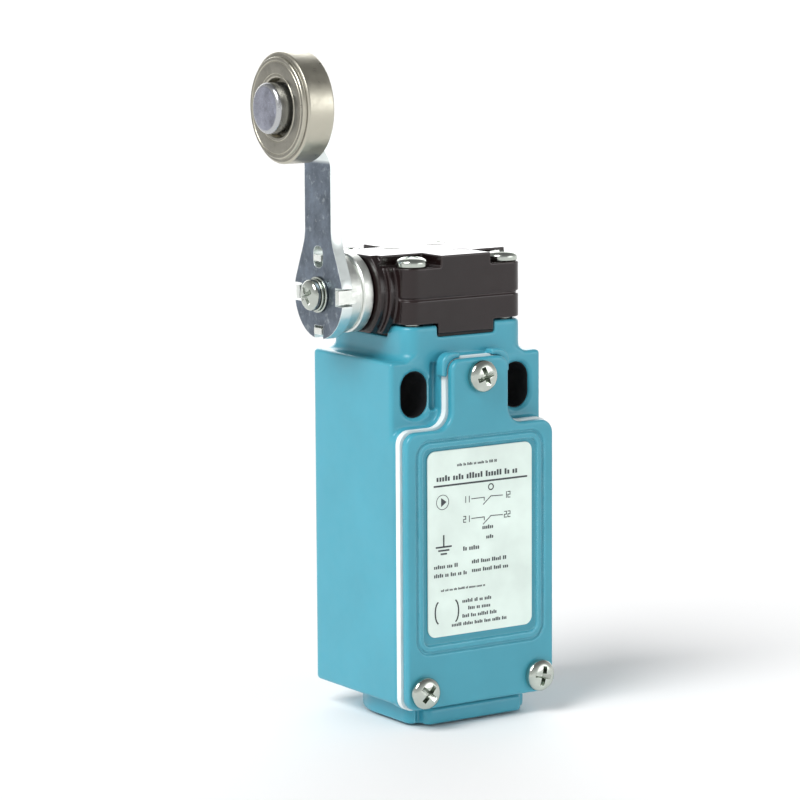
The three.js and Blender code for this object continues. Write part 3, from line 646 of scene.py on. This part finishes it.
def make_housing():
    plan = rounded([
        (-HALF_WIDTH, LUG_FACE, 0.6), (HALF_WIDTH, LUG_FACE, 0.6),
        (HALF_WIDTH, 0, 1.4), (-HALF_WIDTH, 0, 1.4),
    ])
    boss_back = CONDUIT_Y + BOSS_HALF
    boss_round = BOSS_HALF - 0.05
    boss = rounded([
        (-BOSS_HALF, -25.4, 2), (BOSS_HALF, -25.4, 2),
        (BOSS_HALF, boss_back, boss_round), (-BOSS_HALF, boss_back, boss_round),
    ], 24)
    apron = rounded_rect(-APRON_HALF, APRON_HALF, APRON_FACE, CONDUIT_Y, 1.2)
    body = carve(
        soft_prism(plan, BODY_BOTTOM, SHOULDER, "z", 0.8),
        block(-7.5, -5.4, OUTSIDE, LUG_FACE + 1.3, 54, 80),
        block(5.4, 7.5, OUTSIDE, LUG_FACE + 1.3, 54, 80),
    )
    body = unite(
        body,
        soft_prism(face_outline(RIM_GROW), RIM_FACE, LUG_FACE + 1, "y", 0.35),
        soft_prism(boss, 0, 5.5, "z", 0.6),
        soft_prism(apron, 0, APRON_TOP, "z", 0.5),
        prism(head_plan(), SHOULDER - 0.5, NECK_FLOOR),
        *neck_fillet(1.3, 7),
        hook(-1),
        hook(1),
    )
    for side_x, side_y, _ in CORNERS:
        post = soft_prism(head_plan(), SHOULDER - 2, POST_TOP, "z", 0.6)
        keep = corner_block(side_x, side_y, NOTCH_HALF, NOTCH_HALF, SHOULDER, POST_TOP + 1)
        body = unite(body, combine(post, [keep], "INTERSECT"))
    body = carve(
        body,
        block(-APRON_HALF - 0.85, -APRON_HALF, OUTSIDE, -24.8, -1, APRON_TOP + 0.1),
        prism(rounded_rect(*CAVITY), OUTSIDE, -2.6, "y"),
        conduit_thread(),
        rod((0, AXIS_Y), 5, 47, 64, "z"),
        rod((0, AXIS_Y), 3.2, 63, 70, "z"),
        *[slot_solid(x, 0, OUTSIDE, 5) for x in SLOT_X],
        *[slot_solid(x, -SLOT_RELIEF, OUTSIDE, LUG_FACE + 0.35) for x in SLOT_X],
    )
    for node in COVER_SCREWS:
        spot = centre_of(node)
        body = carve(body, rod((spot.x, spot.z), SCREW_HOLE, OUTSIDE, -19.4, "y", 24))
    for node in HEAD_SCREWS:
        spot = centre_of(node)
        body = carve(body, rod((spot.x, spot.y), SCREW_HOLE, 62.3, 80, "z", 24))
    return cast(body, 0.2, 9, 0.22)


piece(make_housing(), "housing_casting", "root", ["housing"], MATERIALS["paint"])

# Near-black sleeves inside the mounting slots are painted shade: a dark sheet standing for the shadow deep
# in the through slots, whose walls are blue like the body.
for side, x in zip(("left", "right"), SLOT_X):
    shade_sleeve = bevel(carve(slot_solid(x, 0.01, -24.3, -0.7), slot_solid(x, 0.16, OUTSIDE, 5)), 0.03, 1)
    piece(shade_sleeve, f"slot_painted_shade_{side}", "root", [], SLOT_SHADE)


# --------------------------------------------------- cover, gasket and label

def panel_outline(grow):
    half = PANEL_HALF + grow
    return rounded_rect(-half, half, PANEL_FOOT - grow, PANEL_TOP + grow, PANEL_CORNER + grow)


def frame_groove(outer, inner, depth):
    """Rectangular groove that frames the label, between two distances out from its panel."""
    return carve(
        prism(panel_outline(outer), OUTSIDE, COVER_LO.y + depth, "y"),
        prism(panel_outline(inner), -50, 0, "y"),
    )


def make_cover():
    cover = carve(
        soft_prism(face_outline(0), COVER_LO.y, COVER_HI.y, "y", 0.55),
        frame_groove(1.5, 0.95, 0.4),
        prism(panel_outline(0), OUTSIDE, COVER_LO.y + PANEL_DEPTH, "y"),
    )
    for node in COVER_SCREWS:
        spot = centre_of(node)
        cover = carve(cover, rod((spot.x, spot.z), COVER_HOLE, OUTSIDE, 5, "y", 32))
    return cast(cover, 0.14, 4, 0.2)


piece(make_cover(), "cover_casting", "root", ["cover"], MATERIALS["paint"])


def make_gasket():
    lo, hi = node_box("cover_gasket")
    gasket = carve(
        prism(face_outline(0.22), lo.y, hi.y, "y"),
        prism(rounded_rect(*CAVITY), OUTSIDE, 5, "y"),
    )
    for node in COVER_SCREWS:
        spot = centre_of(node)
        gasket = carve(gasket, rod((spot.x, spot.z), COVER_HOLE, OUTSIDE, 5, "y", 32))
    inner = HOOK_INNER - 0.1
    for x0, x1 in ((-9, -inner), (inner, 9)):
        corner = block(x0, x1, OUTSIDE, 0, HOOK_FOOT - 0.1, 70)
        gasket = carve(gasket, carve(corner, prism(face_outline(-0.05), -50, 5, "y")))
    return bevel(gasket, 0.15, 2)


piece(make_gasket(), "moulded_gasket", "root", ["cover_gasket"], MATERIALS["gasket"])


def make_label():
    outline = rounded_rect(LABEL_LO.x, LABEL_HI.x, LABEL_LO.z, LABEL_HI.z, 1.5)
    return bevel(prism(outline, LABEL_LO.y, LABEL_HI.y, "y"), 0.05, 2)


piece(make_label(), "printed_label", "root", ["rating_label"], MATERIALS["label"])


def add_tile(bm, corners, y):
    """Thin printed tile with four corners (x, z) on the label's face."""
    front = [bm.verts.new((x, y - INK_DEPTH, z)) for x, z in corners]
    back = [bm.verts.new((x, y + INK_DEPTH, z)) for x, z in corners]
    bm.faces.new(front)
    bm.faces.new(back)
    for i in range(4):
        j = (i + 1) % 4
        bm.faces.new((front[i], front[j], back[j], back[i]))


def add_bar(bm, x0, x1, z0, z1, y):
    add_tile(bm, [(x0, z0), (x1, z0), (x1, z1), (x0, z1)], y)


def add_stroke(bm, points, width, y):
    """Printed line through points, drawn as one thin tile for each stretch."""
    for (ax, az), (bx, bz) in zip(points, points[1:]):
        along = Vector((bx - ax, bz - az)).normalized() * width / 2
        across = Vector((-along.y, along.x))
        a = Vector((ax, az)) - along
        b = Vector((bx, bz)) + along
        add_tile(bm, [tuple(p) for p in (a - across, b - across, b + across, a + across)], y)


# Seven-segment strokes for the terminal numbers, on a cell one wide and two high.
SEGMENTS = {
    "a": [(0, 2), (1, 2)], "b": [(1, 2), (1, 1)], "c": [(1, 1), (1, 0)], "d": [(0, 0), (1, 0)],
    "e": [(0, 0), (0, 1)], "f": [(0, 1), (0, 2)], "g": [(0, 1), (1, 1)],
}
DIGITS = {"1": "bc", "2": "abged"}


def add_number(bm, text, x, z, height, y):
    for k, digit in enumerate(text):
        for segment in DIGITS[digit]:
            points = [
                (x + (k * 0.75 + px * 0.45) * height, z + pz * height / 2) for px, pz in SEGMENTS[segment]
            ]
            add_stroke(bm, points, 0.13, y)


def add_words(bm, x, z, width, height, y):
    """A line of print as rows of small plain marks, with nothing to read."""
    end = x + width
    while x < end - height * 0.4:
        count = random.randint(2, 6)
        for _ in range(count):
            tall = height * random.choice([0.55, 0.6, 0.78])
            add_bar(bm, x, x + height * 0.3, z, z + tall, y)
            x += height * 0.46
            if x > end:
                break
        x += height * 0.4


def add_contact(bm, x, z, numbers, y):
    """Break-contact symbol between two numbered terminals."""
    add_number(bm, numbers[0], x - 1.7, z - 0.5, 1.0, y)
    add_stroke(bm, [(x, z), (x + 2.6, z), (x + 2.6, z - 0.5)], 0.14, y)
    add_stroke(bm, [(x + 2.4, z - 1.2), (x + 4, z + 0.1), (x + 6.4, z)], 0.14, y)
    add_number(bm, numbers[1], x + 6.8, z - 0.5, 1.0, y)


def make_print():
    bm = bmesh.new()
    y = LABEL_LO.y
    left = LABEL_LO.x
    top = LABEL_HI.z
    add_words(bm, left + 6, top - 2.9, 8.5, 0.6, y)
    add_words(bm, left + 1.8, top - 5.2, 16.5, 1.25, y)
    add_bar(bm, left + 1.2, left + 20.6, top - 6.15, top - 5.85, y)
    add_contact(bm, left + 9, top - 8.8, ("11", "12"), y)
    add_contact(bm, left + 9, top - 12.2, ("21", "22"), y)
    lamp = ring(left + 13.0, top - 7.1, 0.5, 20)
    add_stroke(bm, [(p.x, p.y) for p in lamp + lamp[:1]], 0.16, y)
    circle = ring(left + 3, top - 8.8, 1.25, 28)
    add_stroke(bm, [(p.x, p.y) for p in circle + circle[:1]], 0.1, y)
    for k in range(5):
        half = 0.14 * (5 - k)
        add_bar(bm, left + 2.7 + 0.2 * k, left + 2.9 + 0.2 * k, top - 8.8 - half, top - 8.8 + half, y)
    # A plain earth mark stands where a rating plate carries its marks.
    add_stroke(bm, [(left + 3.2, top - 14.6), (left + 3.2, top - 16.4)], 0.28, y)
    for k, half in enumerate((1.5, 1.0, 0.5)):
        level = top - 16.5 - 0.6 * k
        add_stroke(bm, [(left + 3.2 - half, level), (left + 3.2 + half, level)], 0.28, y)
    for side, x in ((1, left + 2.2), (-1, left + 5.4)):
        turns = [t / 4 for t in range(-5, 6)]
        arc = [(x - side * 0.8 * math.cos(t), top - 27.8 + 1.9 * math.sin(t)) for t in turns]
        add_stroke(bm, arc, 0.24, y)
    # Each row of print: distance from the left, distance down, length and height.
    rows = [
        (11.2, 14.3, 3.0, 0.85), (12.0, 16.0, 1.6, 0.85), (7.2, 17.6, 3.2, 0.95), (1.2, 20.2, 4.8, 0.85),
        (9.0, 20.0, 7.0, 0.85), (1.2, 21.7, 6.6, 0.85), (9.0, 21.5, 7.4, 0.85), (2.6, 24.2, 9.0, 0.5),
        (7.0, 26.6, 6.0, 0.8), (8.2, 27.9, 4.6, 0.8), (7.0, 29.2, 7.4, 0.8), (4.8, 30.5, 11.4, 0.75),
    ]
    for x, down, width, height in rows:
        add_words(bm, left + x, top - down, width, height, y)
    return to_object("part", bm)


piece(make_print(), "label_print", "root", [], INK)


# -------------------------------------------------------------------- screws

def dome(head, height, rim, steps=8):
    """Profile of a pan head above its foot: a short side, then a flattened dome."""
    points = [(head - 0.12, 0), (head, 0.12), (head, rim - 0.05)]
    for k in range(steps + 1):
        turn = math.pi / 2 * k / steps
        radius = head * math.cos(turn) ** 0.75 if k < steps else 0
        points.append((radius, rim + (height - rim) * math.sin(turn)))
    return points


def cross_recess(head, depth):
    """Tapered cross that cuts a screw's drive, standing on z = 0 and widening upwards."""
    arm = head * 0.68
    width = head * 0.16
    tools = []
    for quarter in (0, 1):
        bm = bmesh.new()
        rows = []
        levels = [(0, arm * 0.35, width * 0.55), (depth, arm, width), (depth + 2, arm * 1.2, width * 1.3)]
        for z, reach, half in levels:
            sides = [(-reach, -half), (reach, -half), (reach, half), (-reach, half)]
            rows.append([bm.verts.new((a, b, z) if quarter == 0 else (-b, a, z)) for a, b in sides])
        bm.faces.new(rows[0])
        bm.faces.new(rows[-1])
        for a, b in zip(rows, rows[1:]):
            for i in range(4):
                j = (i + 1) % 4
                bm.faces.new((a[i], a[j], b[j], b[i]))
        tools.append(bm)
    return tools


AIM = {
    "front": Matrix.Rotation(math.pi / 2, 4, "X"),
    "left": Matrix.Rotation(-math.pi / 2, 4, "Y"),
    "up": Matrix.Identity(4),
}


def pan_screw(foot, way, head, height, shank, length, turn):
    """Pan-head screw with a cross recess; its head stands on `foot` and looks `way`."""
    place = Matrix.Translation(foot) @ AIM[way] @ Matrix.Rotation(turn, 4, "Z")
    rim = height * 0.4
    stem = [(0, -length), (shank - 0.3, -length), (shank, -length + 0.4), (shank, -0.01)]
    bm = spin(stem + dome(head, height, rim), 56)
    bmesh.ops.transform(bm, matrix=place, verts=bm.verts)
    screw = to_object("part", bm)
    lift = Matrix.Translation((0, 0, height * 0.2))
    for tool in cross_recess(head, height * 0.8):
        bmesh.ops.transform(tool, matrix=place @ lift, verts=tool.verts)
        screw = carve(screw, to_object("part", tool))
    return bevel(screw, 0.06, 2, 38)


for index, node in enumerate(COVER_SCREWS):
    spot = centre_of(node)
    lo = node_box(node)[0]
    foot = Vector((spot.x, COVER_LO.y - 0.06, spot.z))
    screw = pan_screw(foot, "front", 2.75, foot.y - lo.y, SHANK, 8.5, 0.35 + 0.5 * index)
    piece(screw, f"{node}_fine", "root", [node], MATERIALS["zinc"])

for index, node in enumerate(HEAD_SCREWS):
    spot = centre_of(node)
    height = 1.7
    foot = Vector((spot.x, spot.y, node_box(node)[1].z - height))
    screw = pan_screw(foot, "up", 2.7, height, SHANK, 15.5, 0.3 + 0.7 * index)
    piece(screw, f"{node}_fine", "root", [node], MATERIALS["zinc"])


# ---------------------------------------------------------------------- head

def make_head():
    """Head with its stepped bearing boss, screw pockets, seam and bores."""
    head = prism(head_plan(), HEAD_LO.z, HEAD_HI.z)
    head = unite(
        head,
        rod((AXIS_Y, SHAFT_Z), 9.2, -13.5, -HEAD_HALF + 1, "x", 96),
        rod((AXIS_Y, SHAFT_Z), 8.2, -14.9, -HEAD_HALF + 1, "x", 96),
    )
    head = combine(head, [block(-20, 20, OUTSIDE, 10, HEAD_LO.z, HEAD_HI.z)], "INTERSECT")
    pockets = []
    for side_x, side_y, _ in CORNERS:
        notch = NOTCH_HALF - 0.2
        pockets.append(corner_block(side_x, side_y, notch, notch, HEAD_LO.z - 1, POST_TOP + 0.3, 0.05))
        pockets.append(corner_block(side_x, side_y, 5.1, 6.2, POCKET_FLOOR, HEAD_HI.z + 1))
        spot = (side_x * 9.3, AXIS_Y + side_y * 9.3)
        pockets.append(rod(spot, SCREW_HOLE, 60, 79, "z", 24))
    # Shallow round marks of the ejector pins.
    for x, y in ((-5.5, 2.5), (3.5, -5.5), (4.5, 4)):
        pockets.append(rod((x, AXIS_Y + y), 1.7, HEAD_HI.z - 0.12, HEAD_HI.z + 1, "z", 40))
    # Seam between the two halves of the mould, clear of the bearing boss.
    parting = carve(
        prism(head_plan(-3), 72.75, 73.2),
        prism(head_plan(0.28), 70, 76),
        block(-20, -HEAD_HALF + 0.01, OUTSIDE, 10, 60, 90),
    )
    return cast(carve(
        head,
        *pockets,
        parting,
        rod((0, AXIS_Y), 7.6, HEAD_LO.z - 1, POCKET_FLOOR + 0.1, "z", 96),
        rod((AXIS_Y, SHAFT_Z), 5.9, -16, -5, "x"),
        rod((AXIS_Y, SHAFT_Z), 2.7, 5, 10.5, "x"),
    ), 0.14, 7, 0.3)


piece(make_head(), "head_casting", "root", ["head_housing"], MATERIALS["head_black"])


# ------------------------------------------------------------- lever and hub

def key_outline(quarter, inner, outer, half):
    """Side outline of a key or notch, a number of quarter turns round the shaft."""
    angle = quarter * math.pi / 2
    turn = Matrix.Rotation(angle, 2)
    axis = Vector((AXIS_Y, SHAFT_Z))
    return [axis + turn @ Vector(p) for p in ((inner, -half), (outer, -half), (outer, half), (inner, half))]


def make_hub():
    """Drum with a groove near its front, and four keys that stand in the lever's notches."""
    front = HUB_LO.x + KEY_HEIGHT
    length = HUB_HI.x - front
    rim = HUB_RADIUS
    groove = rim - 0.5
    hub = lathe([
        (3.6, 0), (rim - 0.3, 0), (rim, 0.3), (rim, 1.9), (rim - 0.25, 2.1), (groove, 2.1), (groove, 2.7),
        (rim - 0.25, 2.7), (rim, 2.95), (rim, length - 0.3), (rim - 0.3, length), (3.6, length),
    ], Vector((front, AXIS_Y, SHAFT_Z)), "x")
    for quarter in range(4):
        key = prism(key_outline(quarter, 5.7, 6.75, 1.15), HUB_LO.x, front + 1, "x")
        hub = unite(hub, key)
    return bevel(hub, 0.1, 2)


piece(make_hub(), "hub_drum", "lever", ["lever_hub"], HUB_MATERIAL)


def make_lever():
    """Pressed plate: its outline seen from the left meets its bent section seen from the front."""
    inner = LEVER_HI.x
    outer = inner - LEVER_THICKNESS
    jog = outer - LEVER_LO.x
    tip = PIN_Z
    bend = SHAFT_Z + 22.5
    rise = jog * 1.8
    neck = SHAFT_Z + 9.6
    # Height at which the lines of the neck leave the disc's own curve.
    flank = SHAFT_Z + 1.59
    foot = SHAFT_Z - LEVER_DISC
    top = tip + LEVER_HALF
    left, right = AXIS_Y - LEVER_DISC, AXIS_Y + LEVER_DISC
    arm_left, arm_right = AXIS_Y - LEVER_HALF, AXIS_Y + LEVER_HALF
    plate = prism(rounded([
        (left, foot, 7.59), (right, foot, 7.59), (right, flank, 7.55), (arm_right, neck, 8.5),
        (arm_right, top, 4.09), (arm_left, top, 4.09), (arm_left, neck, 8.5), (left, flank, 7.55),
    ], 24), OUTSIDE, 0, "x")
    section = prism(rounded([
        (outer, SHAFT_Z - 20, 0), (inner, SHAFT_Z - 20, 0), (inner, bend + 0.6, 1.5),
        (inner - jog, bend + rise + 0.6, 3.5), (inner - jog, tip + 20, 0), (outer - jog, tip + 20, 0),
        (outer - jog, bend + rise, 1.5), (outer, bend, 3.5),
    ], 8), AXIS_Y - 20, AXIS_Y + 20, "y")
    plate = carve(
        combine(plate, [section], "INTERSECT"),
        rod((AXIS_Y, SHAFT_Z), LEVER_HOLE, OUTSIDE, 0, "x", 48),
        rod((AXIS_Y, tip), LEVER_HOLE, OUTSIDE, 0, "x", 48),
        prism(key_outline(0, 5.3, 9, 1.5), OUTSIDE, 0, "x"),
        prism(key_outline(2, 5.3, 9, 1.5), OUTSIDE, 0, "x"),
        prism(key_outline(3, 5.3, 9, 1.3), OUTSIDE, 0, "x"),
        prism(rounded_rect(AXIS_Y - 1.4, AXIS_Y + 1.4, SHAFT_Z + 4.6, SHAFT_Z + 8.2, 1.1), OUTSIDE, 0, "x"),
    )
    return bevel(plate, 0.14, 2, 50)


piece(make_lever(), "pressed_lever", "lever", ["lever_arm"], MATERIALS["lever_steel"])


def washer(node, inner, outer):
    """Plain washer along X that fills its node's box, with its outer edges broken."""
    edge = 0.1
    lo, hi = node_box(node)
    thick = hi.x - lo.x
    centre = (lo + hi) / 2
    return lathe([
        (inner, 0), (outer - edge, 0), (outer, edge),
        (outer, thick - edge), (outer - edge, thick), (inner, thick),
    ], Vector((lo.x, centre.y, centre.z)), "x")


flat = washer("lever_flat_washer", 2.1, 3.1)
piece(bevel(flat, 0.05, 1, 40), "flat_washer", "lever", ["lever_flat_washer"], MATERIALS["zinc"])


def make_spring_washer():
    """Split ring that climbs a little from one side of its gap to the other."""
    lo, hi = node_box("lever_spring_washer")
    thick = hi.x - lo.x
    start = 0.7
    bm = bmesh.new()
    count = 60
    gap = math.radians(9)
    loops = []
    for k in range(count + 1):
        share = k / count
        angle = gap / 2 + (2 * math.pi - gap) * share + start
        lift = 0.06 * (share - 0.5)
        section = [
            (2.2, 0.05), (2.7, 0.05), (2.8, 0.15),
            (2.8, thick - 0.15), (2.7, thick - 0.05), (2.2, thick - 0.05),
        ]
        loops.append([
            bm.verts.new((lo.x + h + lift, AXIS_Y + r * math.cos(angle), SHAFT_Z + r * math.sin(angle)))
            for r, h in section
        ])
    for a, b in zip(loops, loops[1:]):
        for i in range(len(a)):
            j = (i + 1) % len(a)
            bm.faces.new((a[i], a[j], b[j], b[i]))
    bm.faces.new(loops[0])
    bm.faces.new(loops[-1])
    return bevel(to_object("part", bm), 0.04, 1, 40)


piece(make_spring_washer(), "spring_washer", "lever", ["lever_spring_washer"], MATERIALS["zinc"])

LEVER_SCREW_HEIGHT = 1.5
lever_foot = Vector((node_box("lever_screw")[0].x + LEVER_SCREW_HEIGHT, AXIS_Y, SHAFT_Z))
lever_screw = pan_screw(lever_foot, "left", 2.65, LEVER_SCREW_HEIGHT, 1.9, 8.3, 0.5)
piece(lever_screw, "lever_screw_fine", "lever", ["lever_screw"], MATERIALS["zinc"])


# ------------------------------------------------------------ roller and pin

def make_roller():
    """Roller with a stepped front face, two fine rings turned into it and a counterbore."""
    width = ROLLER_HI.x - ROLLER_LO.x
    rim = ROLLER_HI.y - AXIS_Y
    step = width - ROLLER_STEP
    seat = 3.8
    return lathe([
        (4.2, 0), (rim - 0.5, 0), (rim - 0.15, 0.12), (rim, 0.45),
        (rim, step - 0.45), (rim - 0.12, step - 0.15), (rim - 0.4, step),
        (rim - 0.85, step), (rim - 0.9, width - 0.18), (rim - 1.05, width),
        (rim - 1.5, width), (rim - 1.55, width - 0.1), (rim - 1.7, width - 0.1), (rim - 1.75, width),
        (5.75, width), (5.7, width - 0.08), (5.55, width - 0.08), (5.5, width),
        (5.3, width), (5.05, width - 0.12), (4.95, width - 0.35),
        (4.95, seat), (4.2, seat),
    ], Vector((ROLLER_HI.x, AXIS_Y, PIN_Z)), "x", -1, 160)


roller = bevel(make_roller(), 0.06, 2, 25)
piece(roller, "roller_ring", "roller", ["roller"], MATERIALS["roller_steel"])


def make_pin():
    """Riveted tail, shank and a tall head with a rounded edge."""
    length = PIN_HI.x - PIN_LO.x
    head = (PIN_HI.z - PIN_LO.z) / 2
    foot = length - PIN_HEIGHT
    profile = [
        (0, 0), (1.7, 0), (2.0, 0.3), (2.0, 2.6), (2.7, 2.62), (2.7, foot),
        (head, foot), (head, length - 0.85),
    ]
    steps = 8
    for k in range(1, steps + 1):
        turn = math.pi / 2 * k / steps
        profile.append((head - 0.9 + 0.9 * math.cos(turn), length - 0.85 + 0.75 * math.sin(turn)))
    profile += [(head * 0.5, length - 0.04), (0, length)]
    return lathe(profile, Vector((PIN_HI.x, AXIS_Y, PIN_Z)), "x", -1, 96)


pin = bevel(make_pin(), 0.05, 1, 35)
piece(pin, "pin_turned", "lever", ["roller_pin"], PIN_MATERIAL)


# ------------------------------------------------- pieces kept from the model

slots = {row["node"]: row["material_slot"] for row in RECORD["subparts"]}
REBUILT = {
    "housing", "cover", "cover_gasket", "rating_label", "head_housing", "lever_hub", "lever_arm",
    "lever_flat_washer", "lever_spring_washer", "lever_screw", "roller", "roller_pin",
    *COVER_SCREWS, *HEAD_SCREWS,
}
for name, node in NODES.items():
    if name not in REBUILT:
        node.material_slots[0].material = MATERIALS[slots[name]]


# --------------------------------------------------------- floor, light, camera

def add_floor():
    bm = bmesh.new()
    size = 6.0
    level = cad_box[0][2] - 0.0004
    corners = ((-size, -size), (size, -size), (size, size), (-size, size))
    bm.faces.new([bm.verts.new((x, y, level)) for x, y in corners])
    mesh = bpy.data.meshes.new("floor")
    bm.to_mesh(mesh)
    bm.free()
    floor = bpy.data.objects.new("floor", mesh)
    bpy.context.scene.collection.objects.link(floor)
    material, _, shader, _ = new_material("floor_white")
    shader.inputs["Base Color"].default_value = (0.93, 0.93, 0.93, 1)
    shader.inputs["Roughness"].default_value = 0.9
    mesh.materials.append(material)


def add_camera(target):
    """Camera at the reference view: a little above, and left of the front."""
    roll = math.radians(-0.35)
    distance = 0.5786
    data = bpy.data.cameras.new("camera")
    data.angle = math.radians(13.52)
    camera = bpy.data.objects.new("camera", data)
    bpy.context.scene.collection.objects.link(camera)
    back = outward(-33.6, 8.36)
    camera.location = target + back * distance
    aim = back.to_track_quat("Z", "Y").to_matrix() @ Matrix.Rotation(roll, 3, "Z")
    camera.rotation_euler = aim.to_euler()
    bpy.context.scene.camera = camera


def add_sun(name, azimuth, elevation, spread, power):
    data = bpy.data.lights.new(name, "SUN")
    data.energy = power
    data.angle = math.radians(spread)
    lamp = bpy.data.objects.new(name, data)
    bpy.context.scene.collection.objects.link(lamp)
    lamp.rotation_euler = outward(azimuth, elevation).to_track_quat("Z", "Y").to_euler()


def add_sky():
    """Soft room light: white at the horizon, dim overhead, a window in front and one behind."""
    world = bpy.data.worlds.new("studio")
    world.use_nodes = True
    tree = world.node_tree
    where = tree.nodes.new("ShaderNodeTexCoord").outputs["Generated"]
    split = tree.nodes.new("ShaderNodeSeparateXYZ")
    tree.links.new(where, split.inputs["Vector"])
    light = ramp(
        tree, split.outputs["Z"], [(0.05, 1.0), (0.13, 0.7), (0.3, 0.58), (0.7, 0.25), (1.0, 0.2)],
    )
    for azimuth, elevation, reach, power in WINDOWS:
        dot = tree.nodes.new("ShaderNodeVectorMath")
        dot.operation = "DOT_PRODUCT"
        dot.inputs[1].default_value = outward(azimuth, elevation)
        tree.links.new(where, dot.inputs[0])
        rim = math.cos(math.radians(reach))
        glow = ramp(tree, dot.outputs["Value"], [(rim, 0.0), (rim + (1 - rim) * 0.6, 1.0)])
        scale = tree.nodes.new("ShaderNodeVectorMath")
        scale.operation = "SCALE"
        scale.inputs["Scale"].default_value = power
        tree.links.new(glow, scale.inputs["Vector"])
        total = tree.nodes.new("ShaderNodeVectorMath")
        total.operation = "ADD"
        tree.links.new(light, total.inputs[0])
        tree.links.new(scale.outputs["Vector"], total.inputs[1])
        light = total.outputs["Vector"]
    tree.links.new(light, tree.nodes["Background"].inputs["Color"])
    bpy.context.scene.world = world


def outward(azimuth, elevation):
    """Unit direction from the object towards an azimuth (0 in front) and an elevation."""
    turn = math.radians(azimuth)
    lift = math.radians(elevation)
    return Vector((math.sin(turn) * math.cos(lift), -math.cos(turn) * math.cos(lift), math.sin(lift)))


# Windows of the room, as azimuth, elevation, angular reach and power.
WINDOWS = [(34, 4, 26, 1.8), (146, 16, 34, 2.4)]

middle = Vector((-0.0079, -0.0163, -0.0021))
bpy.context.scene.view_settings.view_transform = "Standard"

add_floor()
add_sky()
add_sun("key_left", -78, 46, 34, 2.6)
add_camera(middle)
